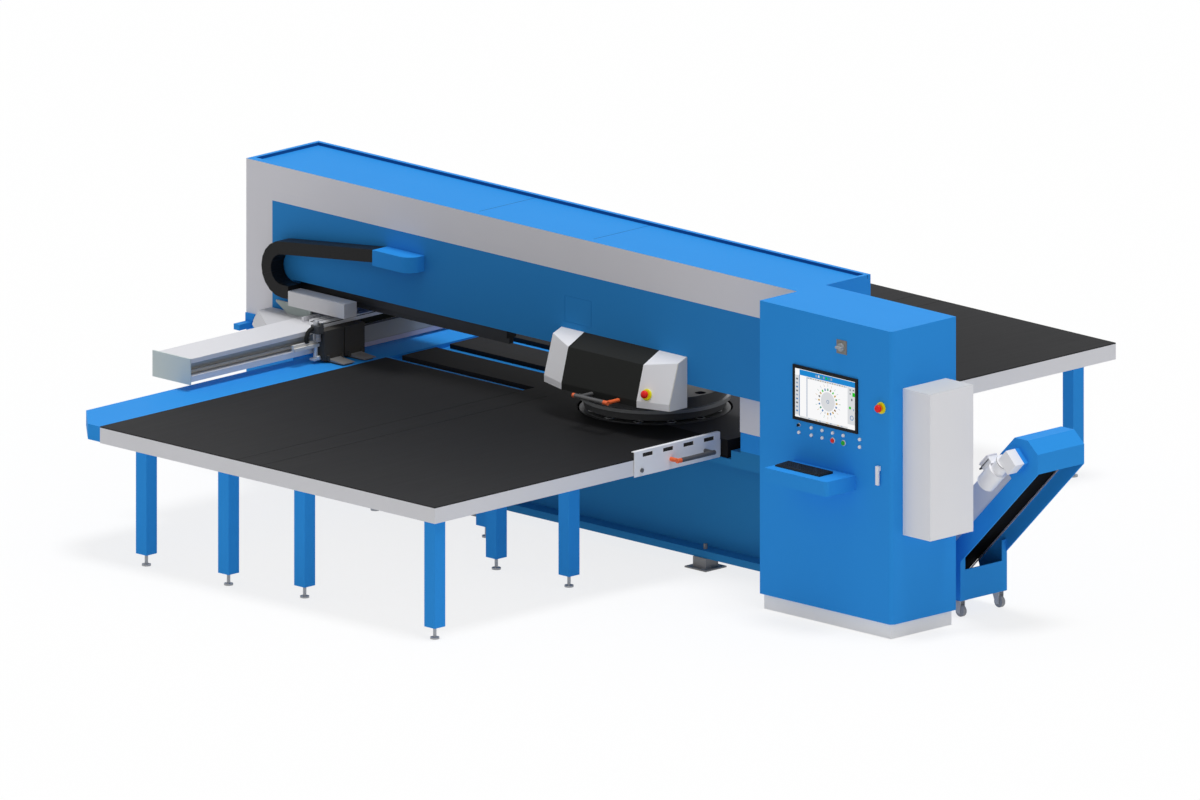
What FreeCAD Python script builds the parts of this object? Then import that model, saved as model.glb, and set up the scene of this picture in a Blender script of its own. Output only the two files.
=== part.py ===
import FreeCAD, Part
import math
import os
import Sketcher

# CNC turret punch press: an O-shaped frame with a coordinate table through its
# throat, a turret of tools under a lifting cover, a control cabinet at the
# right-hand end and a scrap conveyor behind the cabinet.
# Millimetres. X runs along the bridge to the right, Y from the front table to
# the rear table, Z up. The origin is on the floor under the middle of the plan.

SIZES = {
    # tables, all at one height
    "table_left": -2383, "table_right": 795, "table_reach": 3232, "deck_half": 519,
    "table_top": 930, "top_sheet": 8, "skirt_height": 107, "seam_left": -1084, "seam_right": -855,
    "seam_width": 4, "seam_depth": 2, "strip_left": -2769, "strip_top": 928, "strip_height": 106,
    "strip_corner_x": 271, "strip_corner_y": 254,
    "tray_wall": 60, "tray_ceiling": 10, "outer_land": 315, "rear_land": 279, "turret_land": 281,
    "middle_leg": 993, "middle_rib": 90, "inner_leg": 411, "inner_rib": 60,
    "leg_1": 310, "leg_2": 1080, "leg_3": 1367, "leg_4": 1688, "leg_5": 2042, "leg_6": 2732,
    "leg_7": 2963, "leg_8": 3113, "leg_inset_1": 131, "leg_inset_2": 141, "leg_inset_4": 255,
    "leg_inset_8": 65, "rear_leg_inset": 189,
    "leg_side": 100, "leg_bottom": 84, "foot_radius": 32, "foot_height": 12, "screw_radius": 12,
    # black strips on the centre deck, and the bed round the turret
    "deck_strip_left": -2343, "deck_strip": 32, "front_strip_y": -404, "front_strip_width": 322,
    "rear_strip_y": 50, "rear_strip_width": 312, "edge_strip_width": 31, "deck_lip": 25,
    "lip_drop": 2, "bed_right": 862,
    # O-frame
    "bridge_left": -3557, "bridge_right": 1683, "frame_front": -532, "frame_back": 16,
    "bridge_forward": 107, "panel_thick": 30, "base_bottom": 78, "base_top": 805,
    "flange_thick": 50, "web_setback": 120, "under_left": 1365, "under_right": 1300,
    "under_step": -563, "frame_top": 2080, "lip_height": 47, "lip_width": 30,
    "throat_left": -3114, "throat_right": 997, "step_left": 908, "step_top": 868,
    "grey_bottom": 1012, "grey_band": 180, "band_leg_right": -3310,
    "cover_sheet": 25, "top_seam_left": -1469, "top_seam_right": -384, "top_seam_gap": 2,
    "hatch_left": -534, "hatch_right": -281, "hatch_height": 184, "groove": 4,
    "patch_thick": 6,
    # end block of the guide on the left column
    "end_block_width": 55, "end_block_depth": 120, "end_block_bottom": 964,
    "end_block_top": 1004, "end_plate_width": 90, "end_plate_height": 58, "end_plate_sheet": 10,
    "end_plate_slant": 33,
    # levelling mounts of the frame
    "mount_1": -3330, "mount_2": -1479, "mount_3": 615, "mount_4": 1450,
    "mount_side": 200, "mount_plate": 10, "mount_block": 120, "mount_inset": 50,
    "stud_radius": 14, "stud_height": 35,
    # guide rails of the beam under the bridge
    "rail_front_y": -560, "rail_rear_y": -60, "rail_beam_width": 90, "rail_beam_drop": 75,
    "rail_width": 40, "rail_height": 40, "rail_left": -3104, "rail_right": -1150, "slide_gap": 0.3,
    # beam, saddle and tow box
    "beam_left": -2969, "beam_right": -2655, "beam_bottom": 986, "beam_top": 1146,
    "beam_front": -2115, "beam_back": 1461, "beam_wall": 30, "beam_foot": 40,
    "beam_channel": 60,
    "beam_rail": 20, "beam_rail_inset": 41, "beam_rail_depth": 24,
    "end_plate": 12, "end_plate_over": 21, "end_plate_over_z": 10,
    "saddle_nose_x": -3300, "saddle_nose_y": -815, "saddle_toe_y": -1062, "saddle_thick": 88,
    "saddle_back": -690, "saddle_inner_x": -3100, "saddle_rear": -20, "bridge_plate": 24,
    "saddle_flare": 56, "saddle_corner_x": -3440, "saddle_corner_y": -705, "dog_left": -2872,
    "dog_front": -830, "dog_length": 157, "dog_width": 20, "dog_height": 30,
    "bridge_plate_right": -2830, "runner_length": 100, "runner_inset": 10, "runner_width": 84,
    "tow_left": -3031, "tow_right": -2499, "tow_front": -799, "tow_back": -679,
    "tow_bottom": 1222, "tow_top": 1322, "gusset_y": -738, "gusset_thick": 12,
    "gusset_over": 176, "gusset_lip": 12, "gusset_foot": 70, "gusset_right": -2880,
    # energy chain
    "chain_height": 88, "chain_bend": 150, "chain_loop_x": -3090, "chain_loop_z": 1460,
    "chain_start_z": 1707, "chain_link_gap": 0.3, "chain_links": 30,
    "chain_cover_left": -2222, "chain_cover_right": -1866, "chain_cover_bottom": 1643,
    "chain_cover_top": 1751, "chain_cover_front": -809, "chain_cover_corner": 95,
    # carriage and clamps
    "carriage_front": -935, "carriage_length": 2000, "carriage_plate": 20, "carriage_bottom": 947,
    "carriage_top": 1147, "carriage_gap": 0.5, "carriage_block": 150, "neck_bottom": 1103,
    "neck_setback": 12, "lip_line": 978, "line_height": 4, "line_depth": 3, "bar_front": -861,
    "bar_length": 654, "bar_width": 128, "bar_height": 37, "bar_groove": 12, "bar_groove_depth": 8,
    "clamp_depth": 80, "clamp_top": 1150, "clamp_bottom": 945, "clamp_width": 185,
    "clamp_spacing": 198, "clamp_inset": 4, "jaw_reach": 144, "jaw_width": 110,
    "lower_jaw_bottom": 932, "lower_jaw": 6, "upper_jaw": 13, "upper_jaw_tip": 4,
    "jaw_barrel": 9, "jaw_gap": 0.6, "ear_width": 16, "ear_depth": 20, "ear_height": 34,
    "pin_radius": 4, "pin_fit": 0.06, "stop_bar_front": -1163, "stop_bar_bottom": 1039,
    "stop_bar_top": 1080, "stop_bar_step": 1060, "stop_bar_thick": 32, "stop_bar_thin": 17,
    # turret
    "turret_x": -143, "turret_y": -204, "turret_radius": 509, "turret_clear": 15,
    "upper_bottom": 1000, "upper_thick": 100, "rim_thick": 25, "rim_width": 24,
    "lower_top": 925, "lower_thick": 95,
    "station_pitch": 430, "station_count": 12, "station_radius": 38, "station_fit": 0.08,
    "hub_radius": 150, "spindle_radius": 80, "spindle_fit": 0.06, "thrust_gap": 0.3,
    "turret_recess": 260, "recess_depth": 12, "spindle_cap": 110, "spindle_cap_thick": 10,
    "guide_ring": 480, "guide_bottom": 950, "punch_body_bottom": 992, "punch_head": 46,
    "punch_head_height": 12, "punch_top": 1150, "punch_tip": 14, "tip_lift": 3, "die_radius": 20,
    "die_land": 380, "die_land_height": 3,
    "ram_radius": 45, "ram_housing": 110, "ram_housing_bottom": 1200, "ram_top": 1400,
    "ram_bore_top": 1440, "ram_gap": 2, "ram_nose": 34,
    # turret cover
    "cover_left": -565, "cover_right": 628, "cover_inner_left": -350, "cover_inner_right": 363,
    "cover_gap": 0.5, "cover_top": 1489, "cover_bend_y": 150, "cover_bend_z": 1414,
    "cover_face_y": 216, "cover_face_z": 1175, "cover_bottom": 1131, "cap_bend_y": 81,
    "cap_bend_z": 1458, "cap_face_y": 165, "cap_face_z": 1185, "cap_bottom": 1139,
    "cover_wall": 6, "handle_left": -125, "handle_right": 207, "handle_out": 115,
    "handle_z": 1152, "handle_radius": 15, "handle_foot_left": -60,
    "estop_ring": 34, "estop_ring_height": 10, "estop_head": 19, "estop_neck": 10,
    "estop_reach": 40, "estop_along": 0.27, "estop_up": 0.2, "estop_travel": 4,
    # slotted plate at the table's right edge
    "plate_gap": 5, "plate_thick": 6, "plate_setback": 828, "plate_length": 812,
    "plate_bottom": 805, "plate_top": 980, "plate_flange": 30,
    "slot_length": 97, "slot_height": 28, "slot_z": 947, "slot_inset": 78, "slot_pitch": 193.5,
    "slot_count": 4, "bolt_inset": 66, "bolt_z": 845, "bolt_radius": 15, "bolt_head": 9,
    "grip_inset": 329, "grip_length": 356, "grip_z": 874, "grip_radius": 16, "grip_out": 74,
    # control cabinet
    "cabinet_right": 2930, "cabinet_front": -1035, "cabinet_back": -421, "cabinet_bottom": 102,
    "cabinet_over": 4, "cabinet_wall": 30, "door_thick": 30, "door_gap": 0.5, "door_lift": 2,
    "door_corner": 30, "plinth_inset": 21, "shelf_left": 2004, "shelf_right": 2590,
    "shelf_depth": 276, "shelf_bottom": 978, "shelf_top": 1080, "shelf_corner": 25,
    "keys_left": 2029, "keys_length": 420, "keys_front": -1237, "keys_width": 130,
    "keys_height": 16, "keys_slope": 6,
    "screen_left": 2003, "screen_right": 2617, "screen_bottom": 1371, "screen_top": 1750,
    "screen_out": 10, "screen_border": 22, "screen_recess": 3,
    "button_radius": 13, "button_out": 12, "big_button_radius": 15, "big_collar": 19,
    "big_collar_out": 5, "button_travel": 4, "button_fit": 0.3, "button_depth": 14,
    "button_row_top": 1337, "button_row_bottom": 1285,
    "stop_x": 2378, "start_x": 2479, "button_first_x": 2058,
    "button_2": 118, "button_3": 221, "button_4": 320, "button_5": 421, "button_6": 576,
    "switch_x": 2463, "switch_share": 0.51444, "switch_plate": 95, "switch_plate_out": 5,
    "switch_radius": 28, "switch_out": 14, "knob_width": 14, "knob_out": 34, "knob_length": 56,
    "door_estop_x": 2837, "door_estop_z": 1591, "door_estop_ring": 39,
    "latch_left": 2803, "latch_width": 27, "latch_bottom": 1056, "latch_height": 130,
    "latch_out": 24, "latch_foot": 16, "latch_thick": 12,
    "cooler_width": 260, "cooler_front": -924, "cooler_back": -516, "cooler_bottom": 709,
    "cooler_top": 1722,
    # scrap conveyor
    "conveyor_front": -273, "conveyor_width": 442, "side_plate": 10, "trough_right": 2825,
    "trough_bottom": 116, "trough_top": 405, "end_wall_top": 327, "trough_floor": 10,
    "incline_low": 2437, "band_height": 180, "incline_high": 2000, "head_left": 3180,
    "head_high_x": 3340, "head_flat_x": 3463, "head_high_z": 1340, "head_nose_x": 3558,
    "head_nose_z": 1257, "head_sheet": 6, "incline_axis": 2215, "head_axis_x": 3400,
    "tail_axis_x": 1800, "tail_axis_z": 230, "belt_thick": 6, "drum_radius": 39,
    "belt_gap": 0.3, "belt_inset": 23, "shaft_radius": 15, "shaft_fit": 0.06, "drum_gap": 11,
    "hood_inset": 10.3, "hood_sheet": 5, "foot_x": 1740, "foot_side": 60,
    "castor_x": 2770, "castor_inset": 38, "castor_plate": 84, "castor_plate_thick": 6,
    "castor_gap": 0.3, "castor_leg": 5, "castor_trail": 24, "wheel_radius": 40,
    "wheel_width": 32, "fork_gap": 2, "axle_radius": 6, "axle_fit": 0.08,
    "post_width": 36, "post_height": 470, "window_left": 2450, "window_right": 2590,
    "window_bottom": 190, "window_top": 290, "window_slant": 30,
    "boss_depth": 40, "gearbox_half": 53, "gearbox_low": 48, "gearbox_high": 78,
    "gearbox_depth": 85, "worm_up": 50, "flange_radius": 62, "flange_length": 12,
    "neck_radius": 54, "neck_length": 76, "motor_radius": 68, "motor_length": 160,
    "terminal_start": 120, "terminal_length": 100, "terminal_top": 153, "terminal_width": 84,
}

doc = FreeCAD.newDocument("turret_punch_press")
sheet = doc.addObject("Spreadsheet::Sheet", "Sizes")
sub_parts = []


class Dim:
    # A length with its value and the sheet expression that gives it.
    def __init__(self, value, text):
        self.value = value
        self.text = text

    def __add__(self, other):
        other = as_dim(other)
        return Dim(self.value + other.value, "(%s + %s)" % (self.text, other.text))

    def __sub__(self, other):
        other = as_dim(other)
        return Dim(self.value - other.value, "(%s - %s)" % (self.text, other.text))

    def __mul__(self, other):
        other = as_dim(other)
        return Dim(self.value * other.value, "(%s * %s)" % (self.text, other.text))

    def __truediv__(self, other):
        other = as_dim(other)
        return Dim(self.value / other.value, "(%s / %s)" % (self.text, other.text))

    def __neg__(self):
        return Dim(-self.value, "(0 - %s)" % self.text)

    def __radd__(self, other):
        return as_dim(other) + self

    def __rsub__(self, other):
        return as_dim(other) - self

    def __rmul__(self, other):
        return as_dim(other) * self


def as_dim(number):
    if isinstance(number, Dim):
        return number
    return Dim(float(number), "(%.6f)" % number)


class Sizes:
    # Writes the sheet and gives each of its cells as a Dim.
    def __init__(self, table):
        for row, (name, value) in enumerate(table.items(), 1):
            sheet.set("A%d" % row, name)
            sheet.set("B%d" % row, str(value))
            sheet.setAlias("B%d" % row, name)
            setattr(self, name, Dim(float(value), "Sizes." + name))


s = Sizes(SIZES)
doc.recompute()

# legs by their distance from the table's left edge and from its outer edge, then
# those that stand under the middle and inner ribs by their distance from the left
outer_legs = [(s.leg_1, s.leg_inset_1), (s.leg_2, s.leg_inset_2), (s.leg_4, s.leg_inset_4),
              (s.leg_8, s.leg_inset_8)]
rear_outer_legs = [(s.leg_1, s.rear_leg_inset), (s.leg_4, s.rear_leg_inset),
                   (s.leg_7, s.rear_leg_inset)]
middle_legs = [s.leg_5, s.leg_6]
inner_legs = [s.leg_1, s.leg_3]
rear_middle_legs = [s.leg_1, s.leg_5, s.leg_6]
mount_places = [s.mount_1, s.mount_2, s.mount_3, s.mount_4]
button_steps = [0, s.button_2, s.button_3, s.button_4, s.button_5, s.button_6]


# ---- drawing helpers -------------------------------------------------------

def bind(thing, prop, size):
    thing.setExpression(prop, as_dim(size).text)


def new_body(label, kept=True):
    body = doc.addObject("PartDesign::Body", label)
    body.Label = label
    if kept:
        sub_parts.append(body)
    return body


def place(thing, x=0, y=0, z=0, rotation=None):
    if rotation is not None:
        thing.Placement = FreeCAD.Placement(FreeCAD.Vector(0, 0, 0), rotation)
    bind(thing, "Placement.Base.x", x)
    bind(thing, "Placement.Base.y", y)
    bind(thing, "Placement.Base.z", z)


def new_sketch(body, plane, at):
    sketch = body.newObject("Sketcher::SketchObject", body.Name + "_sketch")
    for feature in body.Origin.OriginFeatures:
        if feature.Role == plane + "_Plane":
            sketch.AttachmentSupport = (feature, [""])
    sketch.MapMode = "FlatFace"
    # the XZ plane faces -Y
    bind(sketch, "AttachmentOffset.Base.z", -as_dim(at) if plane == "XZ" else at)
    return sketch


def fix_point(sketch, index, corner, x, y):
    across = sketch.addConstraint(Sketcher.Constraint("DistanceX", -1, 1, index, corner, x.value))
    sketch.setExpression("Constraints[%d]" % across, x.text)
    up = sketch.addConstraint(Sketcher.Constraint("DistanceY", -1, 1, index, corner, y.value))
    sketch.setExpression("Constraints[%d]" % up, y.text)


def draw_outline(sketch, outline):
    if isinstance(outline, tuple):
        x, y, radius = [as_dim(part) for part in outline]
        circle = Part.Circle(FreeCAD.Vector(x.value, y.value, 0), FreeCAD.Vector(0, 0, 1), radius.value)
        index = sketch.addGeometry(circle, False)
        number = sketch.addConstraint(Sketcher.Constraint("Radius", index, radius.value))
        sketch.setExpression("Constraints[%d]" % number, radius.text)
        fix_point(sketch, index, 3, x, y)
        return
    points = [(as_dim(x), as_dim(y)) for x, y in outline]
    first = sketch.GeometryCount
    count = len(points)
    for i in range(count):
        here = points[i]
        after = points[(i + 1) % count]
        line = Part.LineSegment(FreeCAD.Vector(here[0].value, here[1].value, 0),
                                FreeCAD.Vector(after[0].value, after[1].value, 0))
        sketch.addGeometry(line, False)
    for i in range(count):
        sketch.addConstraint(Sketcher.Constraint("Coincident", first + i, 2, first + (i + 1) % count, 1))
    for i in range(count):
        fix_point(sketch, first + i, 1, points[i][0], points[i][1])


def add(body, plane, low, high, *outlines):
    # material between two world heights, drawn on the plane square to them
    sketch = new_sketch(body, plane, low)
    for outline in outlines:
        draw_outline(sketch, outline)
    pad = body.newObject("PartDesign::Pad", body.Name + "_pad")
    pad.Profile = sketch
    bind(pad, "Length", as_dim(high) - low)
    pad.Reversed = plane == "XZ"
    return pad


def cut(body, plane, low, high, *outlines):
    sketch = new_sketch(body, plane, low)
    for outline in outlines:
        draw_outline(sketch, outline)
    pocket = body.newObject("PartDesign::Pocket", body.Name + "_pocket")
    pocket.Profile = sketch
    bind(pocket, "Length", as_dim(high) - low)
    pocket.Reversed = plane != "XZ"
    return pocket


def polygon(x, y, reach, count):
    turns = [2 * math.pi * number / count for number in range(count)]
    return [(x + reach * math.cos(turn), y + reach * math.sin(turn)) for turn in turns]


def rect(x_low, x_high, y_low, y_high):
    return [(x_low, y_low), (x_high, y_low), (x_high, y_high), (x_low, y_high)]


def disc(x, y, radius):
    return (x, y, radius)


def turned(label, profile, kept=True):
    # profile points are (radius, height) in the body's own frame
    body = new_body(label, kept)
    sketch = new_sketch(body, "XZ", 0)
    draw_outline(sketch, profile)
    turn = body.newObject("PartDesign::Revolution", body.Name + "_turn")
    turn.Profile = sketch
    turn.ReferenceAxis = (sketch, ["V_Axis"])
    turn.Angle = 360
    return body


def round_edges(body, radius, chosen):
    # fillets the edges of the last feature that the test picks
    doc.recompute()
    last = body.Tip
    names = []
    for number, edge in enumerate(last.Shape.Edges, 1):
        if chosen(edge):
            names.append("Edge%d" % number)
    fillet = body.newObject("PartDesign::Fillet", body.Name + "_round")
    fillet.Base = (last, names)
    bind(fillet, "Radius", radius)
    return fillet


def is_upright_at(edge, x, y, near=2.0):
    if len(edge.Vertexes) < 2:
        return False
    ends = [vertex.Point for vertex in edge.Vertexes]
    level = abs(ends[0].x - ends[1].x) + abs(ends[0].y - ends[1].y)
    return level < 0.01 and abs(ends[0].x - x) < near and abs(ends[0].y - y) < near


def block(name, x_low, x_high, y_low, y_high, z_low, z_high):
    box = doc.addObject("Part::Box", name)
    bind(box, "Length", as_dim(x_high) - x_low)
    bind(box, "Width", as_dim(y_high) - y_low)
    bind(box, "Height", as_dim(z_high) - z_low)
    place(box, x_low, y_low, z_low)
    return box


def group(label, members):
    # identical pieces, each its own solid, in one node
    doc.recompute()
    together = doc.addObject("Part::Compound", label)
    together.Label = label
    together.Links = members
    sub_parts.append(together)
    return together


def fused(label, members, kept=True):
    whole = doc.addObject("Part::MultiFuse", label)
    whole.Label = label
    whole.Shapes = members
    if kept:
        sub_parts.append(whole)
    return whole


FACING_Y = FreeCAD.Rotation(FreeCAD.Vector(1, 0, 0), -90)
FACING_FRONT = FreeCAD.Rotation(FreeCAD.Vector(1, 0, 0), 90)
UP_THE_INCLINE = FreeCAD.Rotation(FreeCAD.Vector(0, 1, 0), -45)

tray_top = s.table_top - s.top_sheet
tray_bottom = tray_top - s.skirt_height
bridge_front = s.frame_front - s.bridge_forward
cover_front = bridge_front - s.panel_thick
turret_hole = disc(s.turret_x, s.turret_y, s.turret_radius + s.turret_clear)
punch_x = s.turret_x - s.station_pitch
lip_top = s.frame_top + s.lip_height
band_bottom = lip_top - s.grey_band
cabinet_top = lip_top + s.cabinet_over
switch_z = s.screen_top + (cabinet_top - s.screen_top) * s.switch_share


# ---- tables ----------------------------------------------------------------

def make_tables():
    for label, y_low, y_high in (("front_table", -s.table_reach, -s.deck_half),
                                 ("rear_table", s.deck_half, s.table_reach)):
        plan = rect(s.table_left, s.table_right, y_low, y_high)
        tray = new_body(label)
        add(tray, "XY", tray_bottom, tray_top, plan)
        bays = [rect(*side, near, far) for side, near, far in tray_bays()[label]]
        cut(tray, "XY", tray_bottom, tray_top - s.tray_ceiling, *bays)
        top = new_body(label + "_top")
        add(top, "XY", tray_top, s.table_top, plan)
        if label == "front_table":
            cut(tray, "XY", tray_bottom, tray_top, turret_hole)
            cut(top, "XY", tray_top, s.table_top, turret_hole)
        for seam in (s.seam_left, s.seam_right):
            cut(top, "XY", s.table_top - s.seam_depth, s.table_top,
                rect(seam - s.seam_width / 2, seam + s.seam_width / 2, y_low, y_high))


def tray_bays():
    # open bays under the tables, between the ribs that the legs carry
    left = (s.table_left + s.tray_wall, s.seam_left)
    right = (s.seam_right, s.table_right - s.tray_wall)
    inner = s.deck_half + s.tray_wall
    middle = s.deck_half + s.middle_leg
    near = middle - s.middle_rib
    far = middle + s.middle_rib
    inner_rib = s.deck_half + s.inner_leg
    front_end = s.outer_land - s.table_reach
    rear_end = s.table_reach - s.rear_land
    front = [(left, front_end, -far), (left, -near, -inner_rib - s.inner_rib),
             (left, s.inner_rib - inner_rib, -inner), (right, front_end, -far),
             (right, -near, -s.deck_half - s.turret_land)]
    rear = [(left, far, rear_end), (left, inner, near), (right, far, rear_end), (right, inner, near)]
    return {"front_table": front, "rear_table": rear}


def make_centre_deck():
    # sunk blue deck with a lip along the front table, three black strips on it
    deck = new_body("centre_deck")
    deck_top = s.table_top - s.deck_strip
    add(deck, "XY", s.base_top, deck_top,
        rect(s.table_left, s.seam_left, -s.deck_half, s.deck_half))
    add(deck, "XY", deck_top, s.table_top - s.lip_drop,
        rect(s.table_left, s.seam_left, -s.deck_half, s.deck_lip - s.deck_half))
    members = []
    for name, y_low, width in (("front_strip", s.front_strip_y, s.front_strip_width),
                               ("rear_strip", s.rear_strip_y, s.rear_strip_width),
                               ("edge_strip", s.deck_half - s.edge_strip_width, s.edge_strip_width)):
        members.append(block(name, s.deck_strip_left, s.seam_left, y_low, y_low + width,
                             deck_top, s.table_top))
    # bed plates left and right of the turret, with its hole between them
    for name, x_low, x_high in (("left_bed", s.seam_left, s.turret_x),
                                ("right_bed", s.turret_x, s.bed_right)):
        bed = new_body(name, kept=False)
        add(bed, "XY", s.base_top, s.table_top, rect(x_low, x_high, -s.deck_half, s.deck_half))
        cut(bed, "XY", s.base_top, s.table_top, turret_hole)
        members.append(bed)
    group("centre_strips", members)


def make_side_strip():
    strip = new_body("side_strip")
    corner_x = s.strip_left + s.strip_corner_x
    corner_y = s.table_reach - s.strip_corner_y
    add(strip, "XY", s.strip_top - s.strip_height, s.strip_top,
        [(s.strip_left, -corner_y), (corner_x, -s.table_reach), (s.table_left, -s.table_reach),
         (s.table_left, s.table_reach), (corner_x, s.table_reach), (s.strip_left, corner_y)])


def leg_places():
    middle = s.deck_half + s.middle_leg
    inner = s.deck_half + s.inner_leg
    places = [(across, inset - s.table_reach) for across, inset in outer_legs]
    places += [(across, -middle) for across in middle_legs]
    places += [(across, -inner) for across in inner_legs]
    places += [(across, s.table_reach - inset) for across, inset in rear_outer_legs]
    places += [(across, middle) for across in rear_middle_legs]
    return [(s.table_left + across, y) for across, y in places]


def make_legs():
    legs = []
    feet = []
    half = s.leg_side / 2
    for number, (x, y) in enumerate(leg_places(), 1):
        legs.append(block("leg_%d" % number, x - half, x + half, y - half, y + half,
                          s.leg_bottom, tray_bottom))
        foot = new_body("foot_%d" % number, kept=False)
        add(foot, "XY", 0, s.foot_height, polygon(0, 0, s.foot_radius, 12))
        add(foot, "XY", s.foot_height, s.leg_bottom, polygon(0, 0, s.screw_radius, 6))
        place(foot, x, y, 0)
        feet.append(foot)
    group("table_legs", legs)
    group("levelling_feet", feet)


# ---- frame and covers ------------------------------------------------------

def make_main_frame():
    frame = new_body("main_frame")
    throat = [(s.throat_left, s.base_top), (s.step_left, s.base_top), (s.step_left, s.step_top),
              (s.throat_right, s.step_top), (s.throat_right, s.under_right),
              (s.under_step, s.under_right), (s.under_step, s.under_left),
              (s.throat_left, s.under_left)]
    add(frame, "XZ", s.frame_front, s.frame_back,
        rect(s.bridge_left, s.bridge_right, s.base_bottom, s.frame_top), throat)
    # bridge housing and left column stand forward of the base
    add(frame, "XZ", bridge_front, s.frame_front,
        [(s.bridge_left, s.base_bottom), (s.throat_left, s.base_bottom),
         (s.throat_left, s.under_left), (s.under_step, s.under_left),
         (s.under_step, s.under_right), (s.bridge_right, s.under_right),
         (s.bridge_right, s.frame_top), (s.bridge_left, s.frame_top)])
    add(frame, "XZ", cover_front, bridge_front,
        rect(s.bridge_left, s.throat_left, s.base_bottom, s.grey_bottom))
    # the base is an I-section: flanges above and below a set-back web
    web = rect(s.throat_left, s.bridge_right, s.base_bottom + s.flange_thick,
               s.base_top - s.flange_thick)
    cut(frame, "XZ", s.frame_front, s.frame_front + s.web_setback, web)
    cut(frame, "XZ", s.frame_back - s.web_setback, s.frame_back, web)
    # raised lips round the recessed top
    add(frame, "XY", s.frame_top, lip_top,
        rect(s.bridge_left, s.bridge_right, bridge_front, s.frame_back),
        rect(s.bridge_left + s.lip_width, s.bridge_right - s.lip_width,
             bridge_front + s.lip_width, s.frame_back - s.lip_width))
    # end block of the beam's guide on the left column
    add(frame, "XZ", cover_front - s.end_block_depth, cover_front,
        rect(s.bridge_left, s.bridge_left + s.end_block_width, s.end_block_bottom, s.end_block_top))
    plate_right = s.bridge_left + s.end_plate_width
    plate_top = s.end_block_top + s.end_plate_height
    add(frame, "XZ", cover_front - s.end_plate_sheet, cover_front,
        [(s.bridge_left, s.end_block_top), (plate_right - s.end_plate_slant, s.end_block_top),
         (plate_right, plate_top), (s.bridge_left, plate_top)])
    # spindles of the two turret discs
    centre = (s.turret_x, s.turret_y)
    upper_top = s.upper_bottom + s.upper_thick
    lower_bottom = s.lower_top - s.lower_thick
    add(frame, "XY", upper_top + s.thrust_gap, s.under_right, disc(*centre, s.hub_radius))
    add(frame, "XY", s.upper_bottom - s.thrust_gap, upper_top + s.thrust_gap,
        disc(*centre, s.spindle_radius))
    add(frame, "XY", s.upper_bottom - s.thrust_gap - s.spindle_cap_thick,
        s.upper_bottom - s.thrust_gap, disc(*centre, s.spindle_cap))
    add(frame, "XY", s.base_top, lower_bottom - s.thrust_gap, disc(*centre, s.hub_radius))
    add(frame, "XY", lower_bottom - s.thrust_gap, s.lower_top - s.recess_depth,
        disc(*centre, s.spindle_radius))
    # ram housing over the punching station
    add(frame, "XY", s.ram_housing_bottom, s.under_left, disc(punch_x, s.turret_y, s.ram_housing))
    cut(frame, "XY", s.ram_housing_bottom, s.ram_bore_top,
        disc(punch_x, s.turret_y, s.ram_radius + s.spindle_fit))


def make_covers():
    band = new_body("front_band_panel", kept=False)
    add(band, "XZ", cover_front, bridge_front,
        [(s.bridge_left, s.grey_bottom), (s.band_leg_right, s.grey_bottom),
         (s.band_leg_right, band_bottom), (s.bridge_right, band_bottom),
         (s.bridge_right, lip_top), (s.bridge_left, lip_top)])
    patch = block("column_panel", s.throat_right, s.bridge_right, s.frame_front - s.patch_thick,
                  s.frame_front, s.grey_bottom, s.under_right)
    group("grey_panels", [band, patch])
    front = new_body("front_cover")
    add(front, "XZ", cover_front, bridge_front,
        [(s.band_leg_right, s.grey_bottom), (s.throat_left, s.grey_bottom),
         (s.throat_left, s.under_left), (s.under_step, s.under_left),
         (s.under_step, s.under_right), (s.bridge_right, s.under_right),
         (s.bridge_right, band_bottom), (s.band_leg_right, band_bottom)])
    hatch_bottom = (band_bottom + s.under_right - s.hatch_height) / 2
    hatch_top = hatch_bottom + s.hatch_height
    cut(front, "XZ", cover_front, cover_front + s.seam_depth,
        rect(s.hatch_left, s.hatch_right, hatch_bottom, hatch_top),
        rect(s.hatch_left + s.groove, s.hatch_right - s.groove, hatch_bottom + s.groove,
             hatch_top - s.groove))
    sheets = []
    ends = [s.bridge_left + s.lip_width, s.top_seam_left, s.top_seam_right,
            s.bridge_right - s.lip_width]
    for number in range(3):
        sheets.append(block("top_sheet_%d" % number, ends[number] + (s.top_seam_gap if number else 0),
                            ends[number + 1], bridge_front + s.lip_width,
                            s.frame_back - s.lip_width, s.frame_top, s.frame_top + s.cover_sheet))
    group("top_covers", sheets)


def make_machine_mounts():
    members = []
    half = s.mount_side / 2
    core = s.mount_block / 2
    for row, y in (("front", s.frame_front + s.mount_inset), ("rear", s.frame_back - s.mount_inset)):
        for number, x in enumerate(mount_places, 1):
            name = "mount_%s_%d" % (row, number)
            pad = block(name + "_pad", x - half, x + half, y - half, y + half, 0, s.mount_plate)
            wedge = block(name + "_wedge", x - core, x + core, y - core, y + core,
                          s.mount_plate, s.base_bottom)
            members.append(fused(name, [pad, wedge], kept=False))
            if number > 1:
                stud = new_body(name + "_stud", kept=False)
                add(stud, "XY", 0, s.stud_height, polygon(0, 0, s.stud_radius, 6))
                place(stud, x, y, s.base_bottom + s.flange_thick)
                members.append(stud)
    group("machine_mounts", members)


# ---- beam, carriage and clamps ---------------------------------------------

def make_guide_rails():
    members = []
    for name, y in (("front", s.rail_front_y), ("rear", s.rail_rear_y)):
        beam_low = s.under_left - s.rail_beam_drop
        carrier = block(name + "_rail_beam", s.rail_left, s.rail_right, y - s.rail_beam_width / 2,
                        y + s.rail_beam_width / 2, beam_low, s.under_left)
        rail = block(name + "_rail", s.rail_left, s.rail_right, y - s.rail_width / 2,
                     y + s.rail_width / 2, beam_low - s.rail_height, beam_low)
        members.append(fused(name + "_guide", [carrier, rail], kept=False))
    group("guide_rails", members)


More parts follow.
